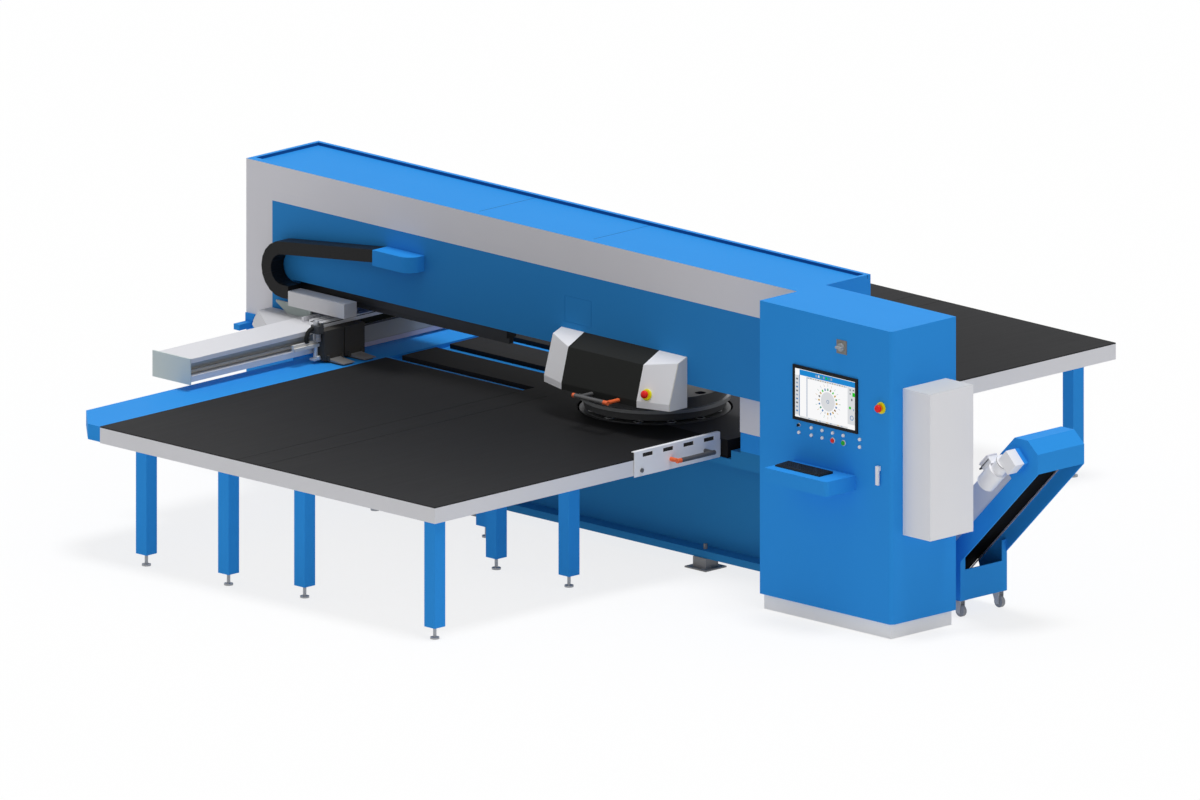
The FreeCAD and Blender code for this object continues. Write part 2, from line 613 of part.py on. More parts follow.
def make_beam():
    beam = new_body("beam")
    web_x = s.beam_right - s.beam_channel
    low = s.beam_bottom + s.beam_foot
    high = s.beam_top - s.beam_wall
    add(beam, "XZ", s.beam_front, s.beam_back,
        [(s.beam_left, s.beam_bottom), (s.beam_right, s.beam_bottom), (s.beam_right, low),
         (web_x, low), (web_x, high), (s.beam_right, high), (s.beam_right, s.beam_top),
         (s.beam_left, s.beam_top)])
    for z in rail_heights():
        add(beam, "XZ", s.beam_front, s.beam_back,
            rect(web_x, web_x + s.beam_rail_depth, z, z + s.beam_rail))
    # switching dog on the top flange
    add(beam, "XY", s.beam_top, s.beam_top + s.dog_height,
        rect(s.dog_left, s.dog_left + s.dog_width, s.dog_front, s.dog_front + s.dog_length))
    plates = []
    for name, y_low in (("front_end_plate", s.beam_front - s.end_plate), ("rear_end_plate", s.beam_back)):
        plates.append(block(name, s.beam_left - s.end_plate_over, s.beam_right + s.end_plate_over,
                            y_low, y_low + s.end_plate, s.beam_bottom - s.end_plate_over_z,
                            s.beam_top + s.end_plate_over_z))
    group("beam_end_plates", plates)


def rail_heights():
    low = s.beam_bottom + s.beam_foot + s.beam_rail_inset - s.beam_wall
    high = s.beam_top - s.beam_rail_inset - s.beam_rail
    return (low, high)


def make_saddle():
    # its nose flares out towards the column's guide
    saddle = new_body("saddle")
    low = s.beam_top - s.saddle_thick
    inner_side = [(s.beam_left, s.saddle_rear), (s.saddle_inner_x, s.saddle_rear),
                  (s.saddle_inner_x, s.saddle_back)]
    foot = inner_side + [(s.saddle_corner_x, s.saddle_back), (s.saddle_corner_x, s.saddle_corner_y),
                         (s.saddle_nose_x, s.saddle_nose_y - s.saddle_flare),
                         (s.beam_left, s.saddle_toe_y - s.saddle_flare)]
    crown = inner_side + [(s.saddle_nose_x, s.saddle_back), (s.saddle_nose_x, s.saddle_corner_y),
                          (s.saddle_nose_x, s.saddle_nose_y), (s.beam_left, s.saddle_toe_y)]
    loft(saddle, "PartDesign::AdditiveLoft", "XY", low, foot, s.beam_top, crown)
    plate_top = s.beam_top + s.bridge_plate
    add(saddle, "XY", s.beam_top, plate_top,
        rect(s.saddle_inner_x, s.bridge_plate_right, s.rail_front_y - s.runner_width / 2, s.saddle_rear))
    # runner blocks that embrace the rails
    rail_low = s.under_left - s.rail_beam_drop - s.rail_height
    runner_top = s.under_left - s.rail_beam_drop - s.slide_gap
    groove_half = s.rail_width / 2 + s.slide_gap
    left = s.saddle_inner_x + s.runner_inset
    right = s.bridge_plate_right - s.runner_inset
    for y in (s.rail_front_y, s.rail_rear_y):
        y_high = y + s.runner_width / 2 if y is s.rail_front_y else s.saddle_rear
        for x_low in (left, right - s.runner_length):
            add(saddle, "XY", plate_top, runner_top,
                rect(x_low, x_low + s.runner_length, y - s.runner_width / 2, y_high))
        cut(saddle, "XY", rail_low - s.slide_gap, runner_top,
            rect(left, right, y - groove_half, y + groove_half))


def make_tow_box():
    box = new_body("tow_box")
    add(box, "XY", s.tow_bottom, s.tow_top,
        rect(s.tow_left, s.tow_right, s.tow_front, s.tow_back))
    # gusset that carries the box and the chain's last link on the saddle
    tip = s.tow_left - s.gusset_over
    add(box, "XZ", s.gusset_y, s.gusset_y + s.gusset_thick,
        [(s.tow_left - s.gusset_foot, s.beam_top), (s.gusset_right, s.beam_top),
         (s.gusset_right, s.tow_bottom), (tip, s.tow_bottom), (tip, s.tow_bottom - s.gusset_lip)])


def make_chain_cover():
    cover = new_body("chain_end_cover")
    add(cover, "XY", s.chain_cover_bottom, s.chain_cover_top,
        rect(s.chain_cover_left, s.chain_cover_right, s.chain_cover_front, cover_front))
    right = s.chain_cover_right.value
    front = s.chain_cover_front.value
    round_edges(cover, s.chain_cover_corner, lambda edge: is_upright_at(edge, right, front))


def chain_line():
    # corners of the chain's neutral line between its links, from the cover to the tow box
    bend = s.chain_bend.value
    start = FreeCAD.Vector(s.chain_cover_left.value, 0, s.chain_start_z.value)
    loop = FreeCAD.Vector(s.chain_loop_x.value, 0, s.chain_loop_z.value)
    top = loop + FreeCAD.Vector(0, 0, bend)
    upper = (top - start).Length
    lower = s.tow_left.value - s.chain_loop_x.value
    count = int(s.chain_links.value)
    pitch = (upper + math.pi * bend + lower) / count
    corners = []
    for number in range(count + 1):
        along = number * pitch
        if along <= upper:
            corners.append(start + (top - start) * (along / upper))
            continue
        angle = min((along - upper) / bend, math.pi)
        outward = FreeCAD.Vector(-math.sin(angle), 0, math.cos(angle))
        level = max(along - upper - math.pi * bend, 0)
        corners.append(loop + outward * bend + FreeCAD.Vector(level, 0, 0))
    return corners


def make_energy_chain():
    # each link ends in the plane that halves the angle to its neighbour
    corners = chain_line()
    ways = [(corners[i + 1] - corners[i]).normalize() for i in range(len(corners) - 1)]
    sides = [FreeCAD.Vector(way.z, 0, -way.x) for way in ways]
    upright = FreeCAD.Vector(0, 0, 1)
    seams = [(before + after).normalize() for before, after in zip(sides, sides[1:])]
    seams = [upright] + seams + [-upright]
    half_height = s.chain_height.value / 2
    gap = s.chain_link_gap.value / 2
    shift = FreeCAD.Vector(0, s.tow_front.value, 0)
    width = s.tow_back.value - s.tow_front.value
    links = []
    for number, way in enumerate(ways):
        ends = []
        for corner, seam, inward in ((corners[number], seams[number], 1),
                                     (corners[number + 1], seams[number + 1], -1)):
            middle = corner + way * (gap * inward) + shift
            reach = seam * (half_height / seam.dot(sides[number]))
            ends.append([middle + reach, middle - reach])
        ring = ends[0] + ends[1][::-1]
        face = Part.Face(Part.makePolygon(ring + [ring[0]]))
        links.append(face.extrude(FreeCAD.Vector(0, width, 0)))
    chain = doc.addObject("Part::Feature", "energy_chain")
    chain.Label = "energy_chain"
    chain.Shape = Part.makeCompound(links)
    sub_parts.append(chain)


def make_carriage():
    carriage = new_body("carriage")
    back = s.beam_right + s.carriage_gap
    front_y = s.carriage_front
    rear_y = s.carriage_front + s.carriage_length
    face = back + s.carriage_plate
    add(carriage, "XZ", front_y, rear_y,
        [(back, s.carriage_bottom), (face, s.carriage_bottom), (face, s.lip_line),
         (face - s.line_depth, s.lip_line), (face - s.line_depth, s.lip_line + s.line_height),
         (face, s.lip_line + s.line_height), (face, s.neck_bottom),
         (face - s.neck_setback, s.neck_bottom), (face - s.neck_setback, s.carriage_top),
         (back, s.carriage_top)])
    web_x = s.beam_right - s.beam_channel
    low, high = rail_heights()
    gap = s.slide_gap
    for y_low in (front_y + s.runner_inset, rear_y - s.runner_inset - s.carriage_block):
        add(carriage, "XZ", y_low, y_low + s.carriage_block,
            rect(web_x + gap, back, low - gap * 10, high + s.beam_rail + gap * 10))
        for z in (low, high):
            cut(carriage, "XZ", y_low, y_low + s.carriage_block,
                rect(web_x, web_x + s.beam_rail_depth + gap, z - gap, z + s.beam_rail + gap))


def make_carriage_bar():
    bar = new_body("carriage_bar")
    right = s.beam_right + s.carriage_gap + s.carriage_plate - s.neck_setback / 2
    left = right - s.bar_width
    top = s.carriage_top + s.bar_height
    rear = s.bar_front + s.bar_length
    add(bar, "XY", s.carriage_top, top, rect(left, right, s.bar_front, rear))
    for share in (0.3, 0.62):
        middle = left + s.bar_width * share
        cut(bar, "XY", top - s.bar_groove_depth, top,
            rect(middle - s.bar_groove / 2, middle + s.bar_groove / 2, s.bar_front, rear))


def make_clamps():
    plate_face = s.beam_right + s.carriage_gap + s.carriage_plate
    barrel_z = s.lower_jaw_bottom + s.lower_jaw + s.jaw_gap + s.jaw_barrel
    for index, name in enumerate(("front", "rear")):
        y_low = s.carriage_front + s.clamp_inset + s.clamp_spacing * index
        back = plate_face if name == "front" else plate_face + s.slide_gap
        face = plate_face + s.clamp_depth
        y_mid = y_low + s.clamp_width / 2
        jaw_low = y_mid - s.jaw_width / 2
        jaw_high = y_mid + s.jaw_width / 2
        tip = face + s.jaw_reach
        axis_x = face + s.jaw_barrel + s.jaw_gap
        clamp = new_body("clamp_" + name)
        add(clamp, "XY", s.clamp_bottom, s.clamp_top,
            rect(back, face, y_low, y_low + s.clamp_width))
        add(clamp, "XY", s.lower_jaw_bottom, s.lower_jaw_bottom + s.lower_jaw,
            [(back, jaw_low), (tip - s.jaw_width / 3, jaw_low), (tip, jaw_low + s.jaw_width / 4),
             (tip, jaw_high - s.jaw_width / 4), (tip - s.jaw_width / 3, jaw_high), (back, jaw_high)])
        add(clamp, "XY", s.lower_jaw_bottom + s.lower_jaw, s.clamp_bottom,
            rect(back, face - s.ear_depth, jaw_low, jaw_high))
        for ear_low in (jaw_low - s.jaw_gap - s.ear_width, jaw_high + s.jaw_gap):
            add(clamp, "XZ", ear_low, ear_low + s.ear_width,
                rect(face, face + s.ear_depth, s.clamp_bottom, s.clamp_bottom + s.ear_height))
        # the pin that carries the upper jaw
        add(clamp, "XZ", jaw_low - s.jaw_gap - s.ear_width, jaw_high + s.jaw_gap + s.ear_width,
            disc(axis_x, barrel_z, s.pin_radius))
        if name == "front":
            # stop bar that reaches past the carriage's end
            stop = plate_face + s.end_plate_sheet * 0.2
            add(clamp, "XZ", s.stop_bar_front, y_low,
                [(stop, s.stop_bar_bottom), (stop + s.stop_bar_thick, s.stop_bar_bottom),
                 (stop + s.stop_bar_thick, s.stop_bar_step), (stop + s.stop_bar_thin, s.stop_bar_step),
                 (stop + s.stop_bar_thin, s.stop_bar_top), (stop, s.stop_bar_top)])
        jaw = new_body("jaw_" + name)
        under = s.lower_jaw_bottom + s.lower_jaw + s.jaw_gap
        add(jaw, "XZ", jaw_low, jaw_high,
            [(axis_x, under), (tip, under), (tip, under + s.upper_jaw_tip),
             (axis_x + s.jaw_barrel * 2, under + s.upper_jaw), (axis_x, under + s.upper_jaw)])
        add(jaw, "XZ", jaw_low, jaw_high, disc(axis_x, barrel_z, s.jaw_barrel))
        cut(jaw, "XZ", jaw_low, jaw_high, disc(axis_x, barrel_z, s.pin_radius + s.pin_fit))


# ---- turret and ram --------------------------------------------------------

def new_disc(label, low, thick):
    turret = new_body(label)
    place(turret, s.turret_x, s.turret_y, low)
    add(turret, "XY", 0, thick, disc(0, 0, s.turret_radius))
    cut(turret, "XY", 0, thick, disc(0, 0, s.spindle_radius + s.spindle_fit))
    cut(turret, "XY", thick - s.recess_depth, thick, disc(0, 0, s.turret_recess))
    return turret


def repeat_station(turret, bore):
    # the bore of one station, repeated round the disc
    doc.recompute()
    pattern = turret.newObject("PartDesign::PolarPattern", turret.Name + "_stations")
    pattern.Originals = [bore]
    for feature in turret.Origin.OriginFeatures:
        if feature.Role == "Z_Axis":
            pattern.Axis = (feature, [""])
    pattern.Angle = 360
    bind(pattern, "Occurrences", s.station_count)
    turret.Tip = pattern


def make_upper_turret():
    # the punch bores run on through a guide ring that reaches down to the sheet
    turret = new_disc("upper_turret", s.upper_bottom, s.upper_thick)
    cut(turret, "XY", s.rim_thick, s.upper_thick, disc(0, 0, s.turret_radius),
        disc(0, 0, s.turret_radius - s.rim_width))
    low = s.guide_bottom - s.upper_bottom
    add(turret, "XY", low, 0, disc(0, 0, s.guide_ring), disc(0, 0, s.die_land))
    bore = cut(turret, "XY", low, s.upper_thick,
               disc(-s.station_pitch, 0, s.station_radius + s.station_fit))
    repeat_station(turret, bore)


def make_lower_turret():
    # die holes through a raised land, so that slugs fall right through
    turret = new_disc("lower_turret", s.lower_top - s.lower_thick, s.lower_thick)
    high = s.lower_thick + s.die_land_height
    add(turret, "XY", s.lower_thick, high, disc(0, 0, s.guide_ring), disc(0, 0, s.die_land))
    hole = cut(turret, "XY", 0, high, disc(-s.station_pitch, 0, s.die_radius))
    repeat_station(turret, hole)


def make_punches():
    # tip, guided body and striker head, heights from the guide ring's underside;
    # the idle ones are retracted, with many-sided bodies
    body = s.punch_body_bottom - s.guide_bottom
    top = s.punch_top - s.guide_bottom
    head = top - s.punch_head_height
    active = turned("active_punch", [(0, s.tip_lift), (s.punch_tip, s.tip_lift), (s.punch_tip, body),
                                     (s.station_radius, body), (s.station_radius, head),
                                     (s.punch_head, head), (s.punch_head, top), (0, top)])
    place(active, punch_x, s.turret_y, s.guide_bottom)
    # the station opposite the active one is left empty, as for a tool change
    count = int(s.station_count.value)
    idle = []
    for number in range(1, count):
        if number == count // 2:
            continue
        punch = new_body("punch_%d" % number, kept=False)
        add(punch, "XY", body, head, polygon(0, 0, s.station_radius, 16))
        add(punch, "XY", head, top, polygon(0, 0, s.punch_head, 16))
        angle = math.radians(180 + number * 360.0 / count)
        place(punch, s.turret_x + s.station_pitch * math.cos(angle),
              s.turret_y + s.station_pitch * math.sin(angle), s.guide_bottom)
        idle.append(punch)
    group("idle_punches", idle)


def make_ram():
    bottom = s.punch_top + s.ram_gap
    ram = turned("ram", [(0, 0), (s.ram_nose, 0), (s.ram_nose, s.punch_head_height),
                         (s.ram_radius, s.punch_head_height), (s.ram_radius, s.ram_top - bottom),
                         (0, s.ram_top - bottom)])
    place(ram, punch_x, s.turret_y, bottom)


# ---- turret cover ----------------------------------------------------------

hinge_back = cover_front - s.cover_gap
inner_line = [(hinge_back, s.cover_top), (hinge_back - s.cover_bend_y, s.cover_bend_z),
              (hinge_back - s.cover_face_y, s.cover_face_z),
              (hinge_back - s.cover_face_y, s.cover_bottom)]
outer_line = [(hinge_back, s.cover_top), (hinge_back - s.cap_bend_y, s.cap_bend_z),
              (hinge_back - s.cap_face_y, s.cap_face_z), (hinge_back - s.cap_face_y, s.cap_bottom)]


def inside_of(line, wall):
    # the same bent line one wall further in
    return [(line[0][0], line[0][1] - wall * 1.15), (line[1][0] + wall * 0.7, line[1][1] - wall),
            (line[2][0] + wall, line[2][1]), (line[3][0] + wall, line[3][1])]


def make_turret_cover():
    panel = new_body("turret_cover")
    within = inside_of(inner_line, s.cover_wall)
    add(panel, "YZ", s.cover_inner_left, s.cover_inner_right, inner_line + within[::-1])
    left = make_cap("left_cap", s.cover_inner_left, s.cover_left, s.cover_wall)
    right = make_cap("right_cap", s.cover_inner_right, s.cover_right, -s.cover_wall)
    sunk = -s.cover_wall * 0.7
    ring = turned("cover_estop_ring", [(0, sunk), (s.estop_ring, sunk),
                                       (s.estop_ring, s.estop_ring_height),
                                       (s.estop_neck + s.button_fit, s.estop_ring_height),
                                       (s.estop_neck + s.button_fit, 1), (0, 1)], kept=False)
    head = turned("cover_estop", estop_profile())
    x, y, z, rotation = cover_estop_seat()
    place(ring, x, y, z, rotation)
    place(head, x, y, z, rotation)
    group("cover_caps", [left, fused("right_cap_with_collar", [right, ring], kept=False)])
    make_cover_handle()


def loft(body, kind, plane, start, first, end, last):
    profiles = []
    for at, line in ((start, first), (end, last)):
        sketch = new_sketch(body, plane, at)
        draw_outline(sketch, line)
        profiles.append(sketch)
    skin = body.newObject(kind, body.Name + "_loft")
    skin.Profile = profiles[0]
    skin.Sections = [profiles[1]]
    skin.Ruled = True
    return skin


def make_cap(label, x_inner, x_outer, end_wall):
    cap = new_body(label, kept=False)
    first = inner_line + [(hinge_back, s.cover_bottom)]
    last = outer_line + [(hinge_back, s.cap_bottom)]
    loft(cap, "PartDesign::AdditiveLoft", "YZ", x_inner, first, x_outer, last)
    doc.recompute()
    below = s.cover_wall * 2
    hollow_first = inside_of(inner_line, s.cover_wall)
    hollow_last = inside_of(outer_line, s.cover_wall)
    hollow_first[3] = (hollow_first[3][0], s.cover_bottom - below)
    hollow_last[3] = (hollow_last[3][0], s.cap_bottom - below)
    hollow_first.append((hinge_back + below, s.cover_bottom - below))
    hollow_last.append((hinge_back + below, s.cap_bottom - below))
    hollow_first.append((hinge_back + below, hollow_first[0][1]))
    hollow_last.append((hinge_back + below, hollow_last[0][1]))
    loft(cap, "PartDesign::SubtractiveLoft", "YZ", x_inner, hollow_first, x_outer + end_wall,
         hollow_last)
    return cap


def estop_profile():
    # mushroom head: stem in the collar and a domed cap, heights from the seat
    reach = s.estop_reach
    low = s.estop_travel + 1.5
    return [(0, low), (s.estop_neck, low),
            (s.estop_neck, reach * 0.5), (s.estop_head, reach * 0.56), (s.estop_head, reach * 0.86),
            (s.estop_head * 0.7, reach), (0, reach)]


def cover_estop_seat():
    # on the right cap's front facet, square to it
    corner = [(s.cover_inner_right, inner_line[2]), (s.cover_inner_right, inner_line[1]),
              (s.cover_right, outer_line[2])]
    base, upper, side = [FreeCAD.Vector(x.value, yz[0].value, yz[1].value) for x, yz in corner]
    normal = (side - base).cross(upper - base).normalize()
    rotation = FreeCAD.Rotation(FreeCAD.Vector(0, 0, 1), normal)
    t = s.estop_along
    u = s.estop_up
    x = s.cover_inner_right + (s.cover_right - s.cover_inner_right) * t
    y = (inner_line[2][0] + (outer_line[2][0] - inner_line[2][0]) * t
         + (inner_line[1][0] - inner_line[2][0]) * u)
    z = (inner_line[2][1] + (outer_line[2][1] - inner_line[2][1]) * t
         + (inner_line[1][1] - inner_line[2][1]) * u)
    return x, y, z, rotation


def make_cover_handle():
    face = hinge_back - s.cover_face_y
    bar_y = face - s.handle_out
    radius = s.handle_radius
    handle = new_body("cover_handle")
    add(handle, "YZ", s.handle_left, s.handle_right, disc(bar_y, s.handle_z, radius))
    for x in (s.handle_foot_left, s.handle_right - radius):
        add(handle, "XZ", bar_y, face, disc(x, s.handle_z, radius * 0.92))


# ---- slotted plate ---------------------------------------------------------

def make_slotted_plate():
    inner = s.table_right + s.plate_gap
    outer = inner + s.plate_thick
    front = -s.deck_half - s.plate_setback
    rear = front + s.plate_length
    plate = new_body("slotted_plate")
    add(plate, "XZ", front, rear,
        [(inner, s.plate_bottom), (outer, s.plate_bottom), (outer, s.plate_top),
         (outer - s.plate_flange, s.plate_top),
         (outer - s.plate_flange, s.plate_top - s.plate_thick),
         (inner, s.plate_top - s.plate_thick)])
    for number in range(int(s.slot_count.value)):
        low = front + s.slot_inset + s.slot_pitch * number
        cut(plate, "YZ", inner, outer, rect(low, low + s.slot_length,
                                            s.slot_z - s.slot_height / 2, s.slot_z + s.slot_height / 2))
    add(plate, "YZ", s.table_right + s.slide_gap, outer + s.bolt_head,
        disc(front + s.bolt_inset, s.bolt_z, s.bolt_radius))
    grip = new_body("plate_handle")
    bar_x = outer + s.grip_out
    near_grip = front + s.grip_inset
    rear_grip = near_grip + s.grip_length
    add(grip, "XZ", near_grip, rear_grip, disc(bar_x, s.grip_z, s.grip_radius))
    for y in (near_grip + s.grip_radius, rear_grip - s.grip_radius):
        add(grip, "YZ", outer, bar_x, disc(y, s.grip_z, s.grip_radius * 0.92))


# ---- control cabinet -------------------------------------------------------

door_back = s.cabinet_front + s.door_thick


def make_cabinet():
    body = new_body("cabinet_body")
    front = door_back + s.door_gap
    wall = s.cabinet_wall
    add(body, "XY", s.cabinet_bottom, cabinet_top,
        rect(s.bridge_right, s.cabinet_right, front, s.cabinet_back))
    cut(body, "XY", s.cabinet_bottom + wall, cabinet_top - wall,
        rect(s.bridge_right + wall, s.cabinet_right - wall, front, s.cabinet_back - wall))
    plinth = new_body("cabinet_plinth")
    inset = s.plinth_inset
    add(plinth, "XY", 0, s.cabinet_bottom,
        rect(s.bridge_right + inset, s.cabinet_right - inset, s.cabinet_front + inset,
             s.cabinet_back - inset))
    cooler = new_body("cooling_unit")
    add(cooler, "XY", s.cooler_bottom, s.cooler_top,
        rect(s.cabinet_right, s.cabinet_right + s.cooler_width, s.cooler_front, s.cooler_back))


def make_door():
    door = new_body("cabinet_door")
    front = s.cabinet_front
    add(door, "XY", s.cabinet_bottom + s.door_lift, cabinet_top,
        rect(s.bridge_right, s.cabinet_right, front, door_back))
    right = s.cabinet_right.value
    face = front.value
    round_edges(door, s.door_corner * 0.95, lambda edge: is_upright_at(edge, right, face))
    # shelf for the keyboard
    shelf_front = front - s.shelf_depth
    add(door, "XY", s.shelf_bottom, s.shelf_top,
        [(s.shelf_left, shelf_front), (s.shelf_right - s.shelf_corner, shelf_front),
         (s.shelf_right - s.shelf_corner * 0.3, shelf_front + s.shelf_corner * 0.3),
         (s.shelf_right, shelf_front + s.shelf_corner), (s.shelf_right, front), (s.shelf_left, front)])
    # raised plate of the main switch and collar of the emergency stop
    half = s.switch_plate / 2
    add(door, "XZ", front - s.switch_plate_out, front,
        rect(s.switch_x - half, s.switch_x + half, switch_z - half, switch_z + half))
    add(door, "XZ", front - s.estop_ring_height, front,
        disc(s.door_estop_x, s.door_estop_z, s.door_estop_ring))
    for x in (s.stop_x, s.start_x):
        add(door, "XZ", front - s.big_collar_out, front, disc(x, s.button_row_bottom, s.big_collar))
    # blind holes for what turns or is pressed
    cut(door, "XZ", front - s.switch_plate_out, front + s.button_depth,
        disc(s.switch_x, switch_z, s.switch_radius / 2 + s.button_fit))
    cut(door, "XZ", front - s.estop_ring_height, front + s.button_depth,
        disc(s.door_estop_x, s.door_estop_z, s.estop_neck + s.button_fit))
    for x in (s.stop_x, s.start_x):
        cut(door, "XZ", front - s.big_collar_out, front + s.button_depth,
            disc(x, s.button_row_bottom, s.big_button_radius + s.button_fit))


def make_keyboard():
    keys = new_body("keyboard")
    rear = s.keys_front + s.keys_width
    add(keys, "YZ", s.keys_left, s.keys_left + s.keys_length,
        [(s.keys_front, s.shelf_top), (rear, s.shelf_top), (rear, s.shelf_top + s.keys_height),
         (s.keys_front, s.shelf_top + s.keys_height - s.keys_slope)])


def make_screen():
    screen = new_body("screen")
    front = s.cabinet_front - s.screen_out
    border = s.screen_border
    add(screen, "XZ", front, s.cabinet_front,
        rect(s.screen_left, s.screen_right, s.screen_bottom, s.screen_top))
    cut(screen, "XZ", front, front + s.screen_recess,
        rect(s.screen_left + border, s.screen_right - border, s.screen_bottom + border,
             s.screen_top - border))


def make_controls():
    front = s.cabinet_front
    small = []
    for row, z in (("top", s.button_row_top), ("bottom", s.button_row_bottom)):
        for number, step in enumerate(button_steps):
            if row == "bottom" and number in (3, 4):
                continue
            button = new_body("%s_button_%d" % (row, number), kept=False)
            add(button, "XZ", front - s.button_out, front,
                polygon(s.button_first_x + step, z, s.button_radius, 16))
            small.append(button)
    group("panel_buttons", small)
    for label, x in (("stop_button", s.stop_x), ("start_button", s.start_x)):
        button = turned(label, [(0, 0), (s.big_button_radius, 0),
                                (s.big_button_radius, s.button_depth + s.button_out * 0.6),
                                (0, s.button_depth + s.button_out * 0.6)])
        place(button, x, front + s.button_depth - s.button_travel - 1, s.button_row_bottom, FACING_FRONT)
    head = turned("door_estop", estop_profile())
    place(head, s.door_estop_x, front, s.door_estop_z, FACING_FRONT)
    make_main_switch()
    make_latch()


def make_main_switch():
    knob = new_body("main_switch")
    front = s.cabinet_front - s.switch_plate_out
    half = s.knob_width / 2
    reach = s.knob_length / 2
    collar_front = front - s.switch_out
    add(knob, "XZ", collar_front, front - s.slide_gap, disc(s.switch_x, switch_z, s.switch_radius))
    add(knob, "XZ", front - s.slide_gap, s.cabinet_front + s.button_depth - 1,
        disc(s.switch_x, switch_z, s.switch_radius / 2))
    add(knob, "XZ", front - s.knob_out, collar_front,
        rect(s.switch_x - reach, s.switch_x + reach, switch_z - half, switch_z + half))


def make_latch():
    latch = new_body("door_handle")
    front = s.cabinet_front - s.slide_gap
    left = s.latch_left
    right = s.latch_left + s.latch_width
    top = s.latch_bottom + s.latch_height
    out = s.cabinet_front - s.latch_out
    add(latch, "XZ", out, out + s.latch_thick, rect(left, right, s.latch_bottom, top))
    add(latch, "XZ", out + s.latch_thick, front, rect(left, right, top - s.latch_foot * 2, top))


# ---- scrap conveyor --------------------------------------------------------

conveyor_back = s.conveyor_front + s.conveyor_width
inner_front = s.conveyor_front + s.side_plate
inner_back = conveyor_back - s.side_plate
head_axis_z = s.head_axis_x - s.incline_axis
hood_foot = (s.head_left + (s.head_left - s.incline_high)
             + s.incline_low - s.band_height) / 2


def conveyor_outline():
    # side of the conveyor: level trough, 45-degree incline and angular head
    low = s.incline_low
    band = s.incline_low - s.band_height
    head_low = s.head_left - s.incline_high
    return [(s.bridge_right, s.trough_bottom), (s.trough_right, s.trough_bottom),
            (s.trough_right, s.trough_right - low), (s.head_nose_x, s.head_nose_x - low),
            (s.head_nose_x, s.head_nose_z), (s.head_flat_x, s.head_high_z),
            (s.head_high_x, s.head_high_x - s.incline_high), (s.head_left, head_low),
            (hood_foot, hood_foot - band), (s.trough_top + band, s.trough_top),
            (s.bridge_right, s.trough_top)]


def make_conveyor_frame():
    frame = new_body("conveyor_frame")
    outline = conveyor_outline()
    # floor of the trough first, so that both side plates join it
    add(frame, "XY", s.trough_bottom, s.trough_bottom + s.trough_floor,
        rect(s.bridge_right, s.trough_right, s.conveyor_front, conveyor_back))
    add(frame, "XZ", s.conveyor_front, inner_front, outline)
    add(frame, "XZ", inner_back, conveyor_back, outline)
    add(frame, "YZ", s.trough_right - s.side_plate, s.trough_right,
        rect(inner_front, inner_back, s.trough_bottom + s.trough_floor, s.end_wall_top))
    add(frame, "YZ", s.bridge_right, s.bridge_right + s.side_plate,
        rect(inner_front, inner_back, s.trough_bottom + s.trough_floor, s.trough_top))
    # folded sheet over the head
    sheet_in = s.head_sheet
    high_z = s.head_high_x - s.incline_high
    low_z = s.head_left - s.incline_high
    add(frame, "XZ", inner_front, inner_back,
        [(s.head_left, low_z), (s.head_high_x, high_z), (s.head_flat_x, s.head_high_z),
         (s.head_nose_x, s.head_nose_z), (s.head_nose_x, s.head_nose_x - s.incline_low),
         (s.head_nose_x - sheet_in, s.head_nose_x - s.incline_low),
         (s.head_nose_x - sheet_in, s.head_nose_z - sheet_in * 0.5),
         (s.head_flat_x - sheet_in * 0.4, s.head_high_z - sheet_in),
         (s.head_high_x + sheet_in * 0.4, high_z - sheet_in),
         (s.head_left + sheet_in * 0.7, low_z - sheet_in * 0.7)])
    for y_low in (s.conveyor_front, conveyor_back - s.foot_side):
        add(frame, "XY", 0, s.trough_bottom,
            rect(s.foot_x, s.foot_x + s.foot_side, y_low, y_low + s.foot_side))
    # posts at the open end, window in the rear plate
    post = s.trough_right - s.side_plate
    for y_low, y_high in ((inner_front, inner_front + s.post_width), (inner_back - s.post_width, inner_back)):
        add(frame, "YZ", post, s.trough_right, rect(y_low, y_high, s.end_wall_top, s.post_height))
    cut(frame, "XZ", inner_back, conveyor_back,
        [(s.window_left, s.window_bottom), (s.window_right, s.window_bottom),
         (s.window_right - s.window_slant, s.window_top), (s.window_left, s.window_top)])
    # bearing block of the head drum, square to the incline
    boss_front = s.conveyor_front - s.boss_depth
    add(frame, "XZ", boss_front, s.conveyor_front, tilted_box())
    cut(frame, "XZ", boss_front, conveyor_back,
        disc(s.head_axis_x, head_axis_z, s.shaft_radius + s.shaft_fit),
        disc(s.tail_axis_x, s.tail_axis_z, s.shaft_radius + s.shaft_fit))


def tilted_box():
    # outline of the gearbox, turned up the incline
    half = (s.gearbox_half - s.slide_gap) * math.sqrt(0.5)
    low = s.gearbox_low * math.sqrt(0.5)
    high = s.gearbox_high * math.sqrt(0.5)
    x = s.head_axis_x
    z = head_axis_z
    return [(x - half + low, z - half - low), (x + half + low, z + half - low),
            (x + half - high, z + half + high), (x - half - high, z - half + high)]


def make_conveyor_hood():
    hood = new_body("conveyor_hood")
    band = s.incline_low - s.band_height
    low_z = s.trough_top
    head_low = s.head_left - s.incline_high
    y_low = s.conveyor_front + s.hood_inset
    y_high = conveyor_back - s.hood_inset
    thin = s.hood_sheet
    add(hood, "XZ", y_low, y_high,
        [(low_z + s.incline_high, low_z), (low_z + band, low_z), (hood_foot, hood_foot - band),
         (s.head_left, head_low)])
    slant = thin * 1.4142
    cut(hood, "XZ", y_low + thin, y_high - thin,
        [(low_z + s.incline_high + slant, low_z), (low_z + band + slant * 2, low_z),
         (hood_foot + slant * 2, hood_foot - band), (s.head_left + slant * 1.5, head_low)])


